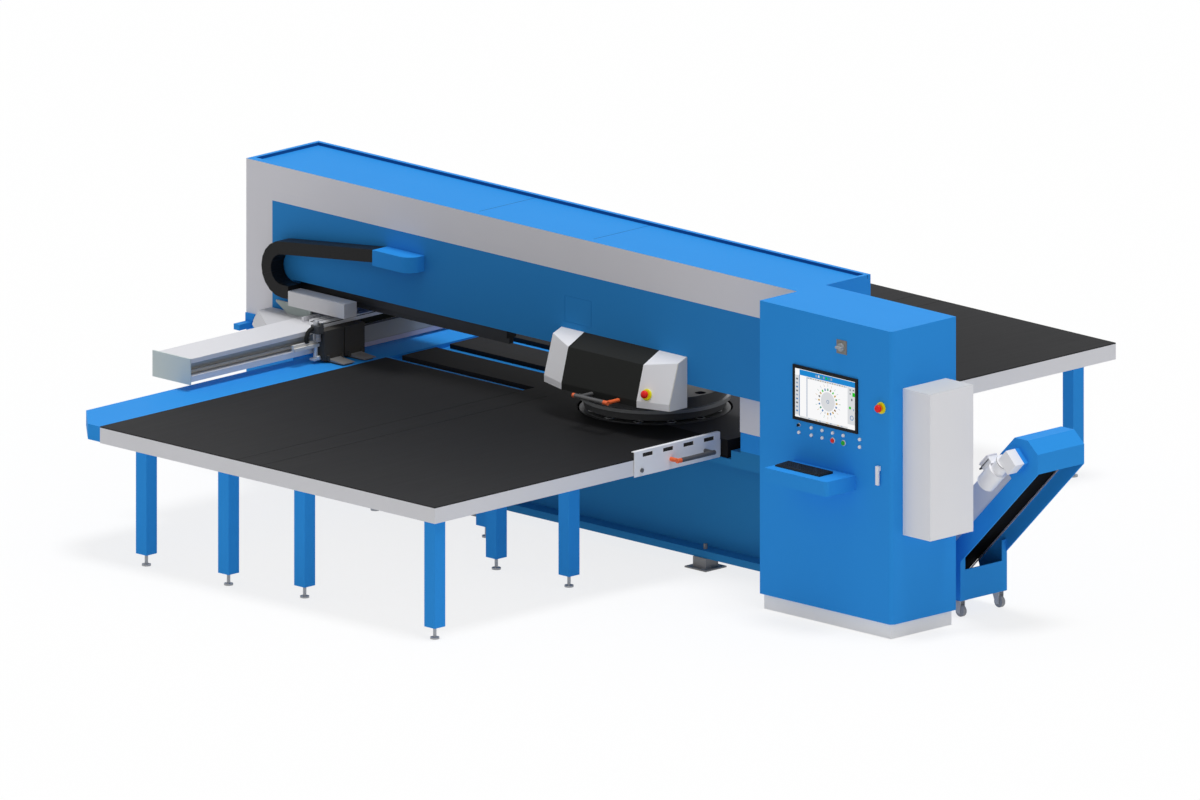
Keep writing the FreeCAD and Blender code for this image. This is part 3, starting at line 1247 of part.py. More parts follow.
def make_conveyor_belt():
    # closed band round both drums, with one bend from level to 45 degrees
    tail = FreeCAD.Vector(s.tail_axis_x.value, 0, s.tail_axis_z.value)
    bend = FreeCAD.Vector(s.tail_axis_z.value + s.incline_axis.value, 0, s.tail_axis_z.value)
    head = FreeCAD.Vector(s.head_axis_x.value, 0, head_axis_z.value)
    inside = s.drum_radius.value + s.belt_gap.value
    y_low = s.conveyor_front.value + s.belt_inset.value
    width = s.conveyor_width.value - 2 * s.belt_inset.value
    outer = belt_loop(tail, bend, head, inside + s.belt_thick.value, y_low)
    inner = belt_loop(tail, bend, head, inside, y_low)
    ring = Part.Face(outer).cut(Part.Face(inner))
    belt = doc.addObject("Part::Feature", "conveyor_belt")
    belt.Label = "conveyor_belt"
    belt.Shape = ring.Faces[0].extrude(FreeCAD.Vector(0, width, 0))
    sub_parts.append(belt)


def belt_loop(tail, bend, head, offset, y):
    level = FreeCAD.Vector(0, 0, 1)
    rising = (head - bend).normalize()
    slope = FreeCAD.Vector(-rising.z, 0, rising.x)
    mitre = (level + slope).normalize() * (offset / math.cos(level.getAngle(slope) / 2))
    shift = FreeCAD.Vector(0, y, 0)
    tail_top = tail + level * offset + shift
    tail_low = tail - level * offset + shift
    tail_end = tail - FreeCAD.Vector(offset, 0, 0) + shift
    head_top = head + slope * offset + shift
    head_low = head - slope * offset + shift
    head_end = head + rising * offset + shift
    edges = [Part.Arc(tail_low, tail_end, tail_top).toShape(),
             Part.LineSegment(tail_top, bend + mitre + shift).toShape(),
             Part.LineSegment(bend + mitre + shift, head_top).toShape(),
             Part.Arc(head_top, head_end, head_low).toShape(),
             Part.LineSegment(head_low, bend - mitre + shift).toShape(),
             Part.LineSegment(bend - mitre + shift, tail_low).toShape()]
    return Part.Wire(edges)


def make_drums():
    length = s.conveyor_width
    start = s.side_plate + s.drum_gap
    end = length - s.side_plate - s.drum_gap
    for label, x, z, shaft_start in (("head_drum", s.head_axis_x, head_axis_z, -s.boss_depth),
                                     ("tail_drum", s.tail_axis_x, s.tail_axis_z, as_dim(0))):
        drum = turned(label, [(0, shaft_start), (s.shaft_radius, shaft_start),
                              (s.shaft_radius, start), (s.drum_radius, start), (s.drum_radius, end),
                              (s.shaft_radius, end), (s.shaft_radius, length), (0, length)])
        place(drum, x, s.conveyor_front, z, FACING_Y)


def make_gearmotor():
    # worm gearbox on the head shaft, its motor slung down the incline
    drive = new_body("gearmotor")
    depth = s.gearbox_depth
    place(drive, s.head_axis_x, s.conveyor_front - s.boss_depth - s.slide_gap, head_axis_z,
          UP_THE_INCLINE)
    add(drive, "XZ", -depth, 0, rect(-s.gearbox_half, s.gearbox_half, -s.gearbox_low, s.gearbox_high))
    axis_y = -depth / 2
    flange_end = -s.gearbox_half - s.flange_length
    neck_end = flange_end - s.neck_length
    motor_end = neck_end - s.motor_length
    add(drive, "YZ", flange_end, -s.gearbox_half, disc(axis_y, s.worm_up, s.flange_radius))
    add(drive, "YZ", neck_end, flange_end, disc(axis_y, s.worm_up, s.neck_radius))
    add(drive, "YZ", motor_end, neck_end, disc(axis_y, s.worm_up, s.motor_radius))
    half_width = s.terminal_width / 2
    add(drive, "XY", s.worm_up + s.motor_radius * 0.7, s.terminal_top,
        rect(-s.terminal_start - s.terminal_length, -s.terminal_start,
             axis_y - half_width, axis_y + half_width))


def make_castors():
    top = s.trough_bottom - s.castor_gap
    for number, y in ((1, s.conveyor_front + s.castor_inset), (2, conveyor_back - s.castor_inset)):
        half = s.castor_plate / 2
        fork = new_body("castor_fork_%d" % number)
        place(fork, s.castor_x, y, 0)
        add(fork, "XY", top - s.castor_plate_thick, top, rect(-half, half, -half, half))
        inner = s.wheel_width / 2 + s.fork_gap
        outer = inner + s.castor_leg
        for low, high in ((-outer, -inner), (inner, outer)):
            add(fork, "XZ", low, high,
                [(s.castor_trail - half * 0.45, s.wheel_radius * 0.6),
                 (s.castor_trail + half * 0.3, s.wheel_radius * 0.6),
                 (half * 0.9, top - s.castor_plate_thick), (-half * 0.7, top - s.castor_plate_thick)])
        add(fork, "XZ", -outer, outer, disc(s.castor_trail, s.wheel_radius, s.axle_radius))
        wheel = turned("castor_wheel_%d" % number,
                       [(s.axle_radius + s.axle_fit, 0), (s.wheel_radius * 0.93, 0),
                        (s.wheel_radius, s.wheel_width * 0.15),
                        (s.wheel_radius, s.wheel_width * 0.85),
                        (s.wheel_radius * 0.93, s.wheel_width),
                        (s.axle_radius + s.axle_fit, s.wheel_width)])
        place(wheel, s.castor_x + s.castor_trail, y - s.wheel_width / 2, s.wheel_radius, FACING_Y)


def check_all():
    doc.recompute()
    faults = []
    for thing in doc.Objects:
        if "Invalid" in thing.State or "Error" in thing.State:
            faults.append("%s: %s" % (thing.Name, thing.State))
    for part in sub_parts:
        shape = part.Shape
        if shape.isNull() or not shape.isValid() or not shape.Solids:
            faults.append("%s: bad shape" % part.Label)
    if faults:
        raise RuntimeError("; ".join(faults))


def main():
    make_tables()
    make_centre_deck()
    make_side_strip()
    make_legs()
    make_main_frame()
    make_covers()
    make_machine_mounts()
    make_guide_rails()
    make_beam()
    make_saddle()
    make_tow_box()
    make_chain_cover()
    make_energy_chain()
    make_carriage()
    make_carriage_bar()
    make_clamps()
    make_upper_turret()
    make_lower_turret()
    make_punches()
    make_ram()
    make_turret_cover()
    make_slotted_plate()
    make_cabinet()
    make_door()
    make_keyboard()
    make_screen()
    make_controls()
    make_conveyor_frame()
    make_conveyor_hood()
    make_conveyor_belt()
    make_drums()
    make_gearmotor()
    make_castors()
    check_all()
    os.makedirs("parts", exist_ok=True)
    for part in sub_parts:
        part.Shape.exportStep("parts/%s.step" % part.Label)
    print("wrote %d sub-parts" % len(sub_parts))


main()
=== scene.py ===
import math

import bmesh
import bpy
from mathutils import Matrix, Vector


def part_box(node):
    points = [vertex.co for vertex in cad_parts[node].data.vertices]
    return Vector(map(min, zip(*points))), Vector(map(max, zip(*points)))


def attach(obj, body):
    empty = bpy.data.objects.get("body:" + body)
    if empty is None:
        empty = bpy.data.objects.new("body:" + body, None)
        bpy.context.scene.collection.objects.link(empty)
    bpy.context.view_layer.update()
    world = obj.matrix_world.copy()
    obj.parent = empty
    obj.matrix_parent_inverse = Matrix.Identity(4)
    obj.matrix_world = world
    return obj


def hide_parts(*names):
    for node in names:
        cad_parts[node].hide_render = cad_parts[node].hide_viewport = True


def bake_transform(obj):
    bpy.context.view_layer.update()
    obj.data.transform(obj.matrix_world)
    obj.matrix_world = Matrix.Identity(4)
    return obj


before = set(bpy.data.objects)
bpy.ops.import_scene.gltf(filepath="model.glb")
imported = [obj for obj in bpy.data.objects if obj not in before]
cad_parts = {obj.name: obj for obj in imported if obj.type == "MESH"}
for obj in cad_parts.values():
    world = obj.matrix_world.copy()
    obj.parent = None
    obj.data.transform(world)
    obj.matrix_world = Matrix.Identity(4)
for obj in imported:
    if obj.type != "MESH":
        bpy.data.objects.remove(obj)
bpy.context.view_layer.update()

# Looks of a turret punch press. Metres, Z up, the frame's own axes: X along the
# bridge, Y from the front table to the rear one. Sizes in the dictionaries are mm.

mm = 0.001


def linear(hexColour):
    # sRGB hex to the linear colour that a shader takes
    parts = [int(hexColour[i:i + 2], 16) / 255 for i in (1, 3, 5)]
    return [p / 12.92 if p <= 0.04045 else ((p + 0.055) / 1.055) ** 2.4 for p in parts] + [1]


def addNode(tree, kind, settings=None, links=None):
    # one node with its settings, and the outputs that feed its inputs, by name or number
    node = tree.nodes.new(kind)
    for key, value in (settings or {}).items():
        if isinstance(key, int) or key in node.inputs:
            node.inputs[key].default_value = value
        else:
            setattr(node, key, value)
    for key, source in (links or {}).items():
        tree.links.new(source, node.inputs[key])
    return node


# Finishes. Each one starts from newFinish and returns its material.

def newFinish(name, hexColour, roughness, metallic=0.0, gloss=0.5):
    material = bpy.data.materials.new(name)
    material.use_nodes = True
    tree = material.node_tree
    shader = tree.nodes["Principled BSDF"]
    shader.inputs["Base Color"].default_value = linear(hexColour)
    shader.inputs["Roughness"].default_value = roughness
    shader.inputs["Metallic"].default_value = metallic
    shader.inputs["Specular IOR Level"].default_value = gloss
    material.diffuse_color = linear(hexColour)
    return material, tree, shader


def tint(tree, shader, source, hexLow, hexHigh):
    # the colour runs between two near tones with a pattern
    mix = addNode(tree, "ShaderNodeMix", {"data_type": "RGBA", "A": linear(hexLow), "B": linear(hexHigh)},
                  {"Factor": source})
    tree.links.new(mix.outputs["Result"], shader.inputs["Base Color"])


def dent(tree, shader, source, strength, depth):
    # a pattern as height in the surface, depth in mm
    bump = addNode(tree, "ShaderNodeBump", {"Strength": strength, "Distance": depth * mm},
                   {"Height": source})
    tree.links.new(bump.outputs["Normal"], shader.inputs["Normal"])


def paintZone(material, hexColour, limits):
    # another colour of the same coat inside a box of the machine's own axes, in mm
    tree = material.node_tree
    shader = tree.nodes["Principled BSDF"]
    place = addNode(tree, "ShaderNodeTexCoord")
    axes = addNode(tree, "ShaderNodeSeparateXYZ", links={"Vector": place.outputs["Object"]})
    tests = []
    for axis, (low, high) in limits.items():
        for kind, edge in (("GREATER_THAN", low), ("LESS_THAN", high)):
            test = addNode(tree, "ShaderNodeMath", {"operation": kind, 1: edge * mm}, {0: axes.outputs[axis]})
            tests.append(test.outputs[0])
    inside = tests[0]
    for test in tests[1:]:
        inside = addNode(tree, "ShaderNodeMath", {"operation": "MULTIPLY"}, {0: inside, 1: test}).outputs[0]
    socket = shader.inputs["Base Color"]
    mix = addNode(tree, "ShaderNodeMix", {"data_type": "RGBA", "A": socket.default_value[:],
                                          "B": linear(hexColour)}, {"Factor": inside})
    if socket.is_linked:
        tree.links.new(socket.links[0].from_socket, mix.inputs["A"])
    tree.links.new(mix.outputs["Result"], socket)


def powderCoat(name, hexColour, hexOther, roughness=0.55):
    # polyester powder baked on sheet steel: satin, slightly cloudy, with orange peel.
    # The peel is 3 mm across, too fine to show, so it is drawn 9 mm across.
    material, tree, shader = newFinish(name, hexColour, roughness, gloss=0.04)
    place = addNode(tree, "ShaderNodeTexCoord")
    cloud = addNode(tree, "ShaderNodeTexNoise", {"Scale": 1 / (700 * mm), "Detail": 3},
                    {"Vector": place.outputs["Object"]})
    peel = addNode(tree, "ShaderNodeTexNoise", {"Scale": 1 / (9 * mm), "Detail": 1},
                   {"Vector": place.outputs["Object"]})
    tint(tree, shader, cloud.outputs["Fac"], hexColour, hexOther)
    dent(tree, shader, peel.outputs["Fac"], strength=0.25, depth=0.15)
    return material


# painted shade on the tables: darkest at the turret, and it fades out at its reach, in mm
turretShade = {"centre": (-143, -204, 930), "reach": 3600, "hex": "#171718"}


def coatedSheet(name, hexColour, hexOther):
    # dull black slide coat on the tables, with faint 12 mm streaks along Y from the sheets,
    # and painted shade that darkens it towards the turret
    d = turretShade
    material, tree, shader = newFinish(name, hexColour, 0.65, gloss=0.03)
    place = addNode(tree, "ShaderNodeTexCoord")
    along = addNode(tree, "ShaderNodeMapping", {"Scale": (1, 0.03, 1)},
                    {"Vector": place.outputs["Object"]})
    streaks = addNode(tree, "ShaderNodeTexNoise", {"Scale": 1 / (12 * mm), "Detail": 3},
                      {"Vector": along.outputs["Vector"]})
    around = addNode(tree, "ShaderNodeMapping",
                     {"vector_type": "TEXTURE", "Location": [c * mm for c in d["centre"]],
                      "Scale": [d["reach"] * mm] * 3}, {"Vector": place.outputs["Object"]})
    shadeFade = addNode(tree, "ShaderNodeTexGradient", {"gradient_type": "SPHERICAL"},
                   {"Vector": around.outputs["Vector"]})
    tint(tree, shader, streaks.outputs["Fac"], hexColour, hexOther)
    socket = shader.inputs["Base Color"]
    # painted shade, darkest at the turret
    paintedShade = addNode(tree, "ShaderNodeMix", {"data_type": "RGBA", "B": linear(d["hex"])},
                    {"A": socket.links[0].from_socket, "Factor": shadeFade.outputs["Fac"]})
    tree.links.new(paintedShade.outputs["Result"], socket)
    return material


def turnedSteel(name, hexColour, hexOther, roughness=0.42, metallic=0.85):
    # turned or ground steel: fine 2 mm marks that soften the reflection, drawn 4 mm apart
    material, tree, shader = newFinish(name, hexColour, roughness, metallic)
    place = addNode(tree, "ShaderNodeTexCoord")
    marks = addNode(tree, "ShaderNodeTexNoise", {"Scale": 1 / (4 * mm), "Detail": 2},
                    {"Vector": place.outputs["Object"]})
    stains = addNode(tree, "ShaderNodeTexNoise", {"Scale": 1 / (120 * mm), "Detail": 4},
                     {"Vector": place.outputs["Object"]})
    tint(tree, shader, stains.outputs["Fac"], hexColour, hexOther)
    dent(tree, shader, marks.outputs["Fac"], strength=0.2, depth=0.05)
    return material


def anodised(name, hexColour, hexOther):
    # extruded aluminium, anodised: silky, with die lines 6 mm apart along Y
    material, tree, shader = newFinish(name, hexColour, 0.45, metallic=0.35)
    place = addNode(tree, "ShaderNodeTexCoord")
    along = addNode(tree, "ShaderNodeMapping", {"Scale": (1, 0.02, 1)},
                    {"Vector": place.outputs["Object"]})
    lines = addNode(tree, "ShaderNodeTexNoise", {"Scale": 1 / (6 * mm), "Detail": 2},
                    {"Vector": along.outputs["Vector"]})
    tint(tree, shader, lines.outputs["Fac"], hexColour, hexOther)
    return material


def moulded(name, hexColour, roughness=0.4, grain=4, gloss=0.35):
    # injection-moulded ABS, and rubber for the tyres, with spark-eroded grain: matt, its
    # 0.5 mm cells drawn 2 to 6 mm across
    material, tree, shader = newFinish(name, hexColour, roughness, gloss=gloss)
    place = addNode(tree, "ShaderNodeTexCoord")
    cells = addNode(tree, "ShaderNodeTexNoise", {"Scale": 1 / (grain * mm), "Detail": 1},
                    {"Vector": place.outputs["Object"]})
    dent(tree, shader, cells.outputs["Fac"], strength=0.15, depth=0.08)
    return material


def ribbedRubber(name, hexColour, pitch=30):
    # vulcanised belting with cross ribs every 30 mm; a wave of scale 1 repeats every tau / 20 m
    material, tree, shader = newFinish(name, hexColour, 0.85, gloss=0.1)
    place = addNode(tree, "ShaderNodeTexCoord")
    ribs = addNode(tree, "ShaderNodeTexWave", {"wave_type": "BANDS", "bands_direction": "X",
                                               "Scale": math.tau / 20 / (pitch * mm), "Distortion": 0},
                   {"Vector": place.outputs["Object"]})
    dent(tree, shader, ribs.outputs["Fac"], strength=0.4, depth=1.0)
    return material


def litPixels(name, hexColour):
    # back-lit screen: colours that shade doesn't dim, under smooth glass
    material, tree, shader = newFinish(name, "#000000", 0.3, gloss=0.1)
    shader.inputs["Emission Color"].default_value = linear(hexColour)
    shader.inputs["Emission Strength"].default_value = 0.95
    return material


# one entry for each real finish; the colours are matched to the photograph's light
finish = {
    "blue": powderCoat("blue powder coat", "#2F94E7", "#3298EB"),
    "grey": powderCoat("light grey powder coat", "#E0DFE5", "#E5E4E9"),
    "pale": powderCoat("pale grey powder coat", "#E0E0E4", "#E4E4E8"),
    # the plinth's off-white is lighter than the cooler's same white, as painted light against the shade near
    # the floor
    "white": powderCoat("off-white powder coat", "#FBFBFC", "#FDFDFE"),
    "saddle": powderCoat("saddle powder coat", "#CDCDD1", "#D1D1D5"),
    "primer": powderCoat("pale green-grey primer", "#D0DBD7", "#D6DFDC"),
    "black": powderCoat("black powder coat", "#2A2B2A", "#2F302F"),
    "sheet": coatedSheet("black slide coat", "#2E2E2F", "#39393A"),
    "steel": turnedSteel("ground steel", "#A6A8AB", "#B4B5B8"),
    "darkSteel": turnedSteel("blackened steel", "#4A4B4D", "#5A5B5C", 0.5, 0.4),
    # rail steel painted nearly black as painted shade under the bridge
    "paintedShade": turnedSteel("rail steel darkened for painted shade", "#1B1C1F", "#232427", 0.5, 0.1),
    "jaw": turnedSteel("ground jaw steel", "#858381", "#93918F", 0.5, 0.15),
    "zinc": turnedSteel("zinc-plated steel", "#A9ABAE", "#B7B9BC", 0.45, 0.25),
    "aluminium": anodised("anodised aluminium", "#CBCDD0", "#D8D9DC"),
    "blackPlastic": moulded("black moulded plastic", "#161617", gloss=0.15),
    "keyPlastic": moulded("black key plastic", "#141619", 0.5, 2),
    "whitePlastic": moulded("white moulded plastic", "#F6F6F9"),
    "redPlastic": moulded("red moulded plastic", "#F01008"),
    "greenPlastic": moulded("green moulded plastic", "#0AB81E"),
    "yellowPlastic": moulded("yellow moulded plastic", "#F4EC10"),
    "beltRubber": ribbedRubber("black belting", "#060606"),
    "tyreRubber": moulded("grey tyre rubber", "#A4A5A8", 0.7, 6, 0.1),
}

# the frame's nodes that carry one finish
cadFinish = {
    "blue": ["centre_deck", "side_strip", "table_legs",
             "chain_end_cover", "cabinet_body", "conveyor_frame"],
    "grey": ["conveyor_hood"],
    "pale": ["front_table", "rear_table"],
    "white": ["cabinet_plinth"],
    "saddle": ["saddle"],
    "primer": ["beam_end_plates"],
    "black": ["turret_cover"],
    "sheet": ["front_table_top", "rear_table_top"],
    "paintedShade": ["guide_rails"],
    "jaw": ["jaw_front", "jaw_rear", "machine_mounts"],
    "steel": ["idle_punches", "active_punch", "ram", "head_drum", "tail_drum"],
    "zinc": ["castor_fork_1", "castor_fork_2", "levelling_feet"],
    "darkSteel": ["lower_turret"],
    "blackPlastic": ["energy_chain", "screen"],
    "keyPlastic": ["keyboard"],
    "whitePlastic": ["panel_buttons", "door_handle", "gearmotor"],
    "redPlastic": ["stop_button"],
    "greenPlastic": ["start_button"],
    "beltRubber": ["conveyor_belt"],
    "tyreRubber": ["castor_wheel_1", "castor_wheel_2"],
}

far = 9000  # past the machine on every side

# nodes with a coat of their own, then boxes of other colours on it, as limits in mm
zoned = {
    # painted shade: the base darker where the tables shade it, and the inner faces of the lip round the top
    # darker
    "main_frame": (powderCoat("frame coat", "#2F94E7", "#3298EB"),
                   [("#2F84BE", {"X": (-2900, far), "Z": (-far, 880)}),
                    ("#1D5C9C", {"Y": (-17, -11), "Z": (2100, 2126)}),
                    ("#1D5C9C", {"X": (-3530, -3524), "Z": (2100, 2126)})]),
    # blue on the panels' top edge
    "grey_panels": (powderCoat("panel coat", "#E0DFE5", "#E5E4E9"),
                    [("#3096E9", {"Z": (2126.4, far)})]),
    # grey band along the cover's top; the cover's blue is the blue coat darkened, as painted shade
    "front_cover": (powderCoat("blue powder coat darkened for painted shade", "#2F88D0", "#328CD4"),
                    [("#E2E1E7", {"Z": (1879, far)})]),
    # seams between the three covers
    "top_covers": (powderCoat("top cover coat", "#2F94E7", "#3298EB"),
                   [("#2470B8", {"X": (-1473, -1465)}), ("#2470B8", {"X": (-388, -380)})]),
    # paler bed to the right of the turret's middle
    "centre_strips": (coatedSheet("bed slide coat", "#2E2E2F", "#39393A"),
                      [("#3A3A3C", {"X": (-143, far), "Z": (929, 931)})]),
    # dark bolt
    "slotted_plate": (powderCoat("plate coat", "#F3F3F4", "#F6F6F7"),
                      [("#6A6B6D", {"X": (806.4, far), "Z": (825, 865)})]),
    # top painted greyer, as painted shade
    "cooling_unit": (powderCoat("cooler coat", "#F1F1F5", "#F5F5F8"),
                     [("#D6D6D5", {"Z": (1721.5, far)})]),
    # right side painted darker and warmer, as painted shade
    "cover_caps": (powderCoat("cap coat", "#F1F1F5", "#F5F5F8"),
                   [("#D2CFCA", {"X": (621, far)})]),
    # web between the rails painted a darker, warmer grey, as painted shade that also cancels blue light
    # bounced onto it
    "beam": (powderCoat("beam coat", "#E0E0E4", "#E4E4E8"),
             [("#C2BEB6", {"X": (-2725, -2660), "Z": (1027.5, 1114)})]),
    # painted shade in the grooves of the profile
    "carriage_bar": (anodised("bar aluminium", "#E6E7EA", "#F0F1F3"),
                     [("#3A3A3C", {"X": (-2756, -2640), "Z": (1170, 1177)})]),
    # green-grey lower part
    "tow_box": (powderCoat("tow box coat", "#D4D4D8", "#D8D8DB"),
                [("#B4BFBC", {"Z": (-far, 1221)})]),
    # brighter turned rim
    "upper_turret": (turnedSteel("upper disc steel", "#3C3D3E", "#4A4B4C", 0.5, 0.3),
                     [("#8A8B8C", {"Z": (1000.5, 1026)})]),
    # painted shade on the upper plate under the bar and in a dark line under the plate; pale foot
    "carriage": (powderCoat("carriage coat", "#A7A6A4", "#AEADAB"),
                 [("#22261F", {"Z": (1103.5, 1150)}), ("#B9B4C6", {"Z": (-far, 978)}),
                  ("#4B4B50", {"X": (-2634.6, -2500), "Z": (1093, 1103.5)})]),
    # bare front end
    "clamp_front": (powderCoat("front clamp coat", "#4A4845", "#4F4D4A"),
                    [("#E0DEDA", {"Y": (-far, -931.5)})]),
    "clamp_rear": (powderCoat("rear clamp coat", "#4A4845", "#4F4D4A"), []),
    "main_switch": (moulded("switch plastic", "#A9ADB0"), []),
    # plate of the main switch, yellow mark round the stop, plates of the start and stop buttons
    "cabinet_door": (powderCoat("door coat", "#2F94E7", "#3298EB"),
                     [("#8C8A86", {"X": (2414, 2512), "Y": (-1050, -1035.4), "Z": (1897, 1995)}),
                      ("#F4EC10", {"X": (2797, 2877), "Y": (-1050, -1035.4), "Z": (1551, 1631)}),
                      ("#D5D8DA", {"X": (2358, 2398), "Y": (-1050, -1035.4), "Z": (1265, 1305)}),
                      ("#D5D8DA", {"X": (2459, 2499), "Y": (-1050, -1035.4), "Z": (1265, 1305)})]),
    # orange ends
    "cover_handle": (moulded("cover handle plastic", "#5C5C5D"),
                     [("#F06E3C", {"X": (-far, -104)}), ("#F06E3C", {"X": (166, far)})]),
    # orange grip
    "plate_handle": (moulded("plate handle plastic", "#5A5959"),
                     [("#F06E3C", {"Y": (-far, -980)})]),
}


def coatNode(node, material):
    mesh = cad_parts[node].data
    mesh.materials.clear()
    mesh.materials.append(material)


def dressFrame():
    for name, nodes in cadFinish.items():
        for node in nodes:
            coatNode(node, finish[name])
    for node, (material, zones) in zoned.items():
        for hexColour, limits in zones:
            paintZone(material, hexColour, limits)
        coatNode(node, material)
    print("dressed the frame")


# Mesh building. Every piece is drawn in a bmesh in millimetres.

def addSkin(mesh, rings, index=0):
    # faces from ring to ring, and one at each end
    faces = [mesh.faces.new(rings[0][::-1]), mesh.faces.new(rings[-1])]
    for first, second in zip(rings, rings[1:]):
        for step in range(len(first)):
            after = (step + 1) % len(first)
            faces.append(mesh.faces.new([first[step], first[after], second[after], second[step]]))
    for face in faces:
        face.material_index = index


def addPrism(mesh, outline, low, high, index=0):
    # outline in X and Z, from low to high in Y
    rings = [[mesh.verts.new((x, y, z)) for x, z in outline] for y in (low, high)]
    addSkin(mesh, rings, index)


def addBlock(mesh, low, high, index=0):
    outline = [(low[0], low[2]), (high[0], low[2]), (high[0], high[2]), (low[0], high[2])]
    addPrism(mesh, outline, low[1], high[1], index)


def addTurned(mesh, profile, seat, sides, index=0, closed=False):
    # profile of (radius, height) turned about the seat's own Z; radius 0 closes it
    rings = []
    for radius, height in profile:
        if radius == 0:
            rings.append([mesh.verts.new(seat @ Vector((0, 0, height)))])
            continue
        turns = [math.tau * step / sides for step in range(sides)]
        places = [Vector((radius * math.cos(turn), radius * math.sin(turn), height)) for turn in turns]
        rings.append([mesh.verts.new(seat @ place) for place in places])
    pairs = list(zip(rings, rings[1:]))
    if closed:
        pairs.append((rings[-1], rings[0]))
    for first, second in pairs:
        for step in range(sides):
            after = (step + 1) % sides
            corners = [first[step % len(first)], first[after % len(first)],
                       second[after % len(second)], second[step % len(second)]]
            unique = [corner for i, corner in enumerate(corners) if corner not in corners[:i]]
            if len(unique) > 2:
                mesh.faces.new(unique).material_index = index


def addTube(mesh, points, radius, sides):
    # round bar through points, with flat ends
    rings = []
    side = None
    for number, point in enumerate(points):
        before = points[max(number - 1, 0)]
        after = points[min(number + 1, len(points) - 1)]
        way = (after - before).normalized()
        side = (way.orthogonal() if side is None else side - way * side.dot(way)).normalized()
        other = way.cross(side)
        turns = [math.tau * step / sides for step in range(sides)]
        rings.append([mesh.verts.new(point + (side * math.cos(turn) + other * math.sin(turn)) * radius)
                      for turn in turns])
    addSkin(mesh, rings)


def addStrip(mesh, edges, low, high):
    # a bar cut into slices: each edge gives two corners in X and Z, from low to high in Y
    rings = []
    for a, b in edges:
        corners = ((a.x, low, a.y), (b.x, low, b.y), (b.x, high, b.y), (a.x, high, a.y))
        rings.append([mesh.verts.new(corner) for corner in corners])
    addSkin(mesh, rings)


def finishPiece(name, mesh, materials, body, bevel=0.0):
    # makes the object from the bmesh, in metres, and fixes it to its body, if it is given one.
    bmesh.ops.recalc_face_normals(mesh, faces=mesh.faces)
    bmesh.ops.scale(mesh, vec=(mm, mm, mm), verts=mesh.verts)
    data = bpy.data.meshes.new(name)
    mesh.to_mesh(data)
    mesh.free()
    for material in materials:
        data.materials.append(material)
    data.shade_smooth()
    data.set_sharp_from_angle(angle=math.radians(35))
    piece = bpy.data.objects.new(name, data)
    bpy.context.scene.collection.objects.link(piece)
    if bevel:
        rounding = piece.modifiers.new("rounding", "BEVEL")
        rounding.width = bevel * mm
        rounding.segments = 2
        rounding.limit_method = "ANGLE"
    if body:
        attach(piece, body)
    return piece


def seatAt(place, axis):
    # a seat whose Z runs along the axis, its origin at a point in mm
    turn = Vector(axis).to_track_quat("Z", "Y").to_matrix().to_4x4()
    return Matrix.Translation(Vector(place)) @ turn


upwards = (0, 0, 1)
towardsFront = (0, -1, 0)


dieRings = {"centre": (-143, -204, 928), "pitch": 430, "count": 12, "bore": 20.5, "outer": 35,
            "proud": 1.6, "chamfer": 0.8, "lead": 1, "sides": 40}


def buildDieRings():
    # bright rim of each die, pressed into the disc's land
    d = dieRings
    x, y, z = d["centre"]
    bore, outer, proud = d["bore"], d["outer"], d["proud"]
    profile = [(bore, 0), (outer, 0), (outer, proud * 0.5), (outer - d["chamfer"], proud),
               (bore + d["lead"], proud), (bore, proud * 0.4)]
    mesh = bmesh.new()
    for number in range(d["count"]):
        turn = math.tau * number / d["count"]
        place = (x + d["pitch"] * math.cos(turn), y + d["pitch"] * math.sin(turn), z)
        addTurned(mesh, profile, seatAt(place, upwards), d["sides"], closed=True)
    steel = turnedSteel("polished die steel", "#D8DADB", "#E4E5E6", 0.3, 0.5)
    finishPiece("die_rings", mesh, [steel], "lower_disc")
    print("built the die rings")


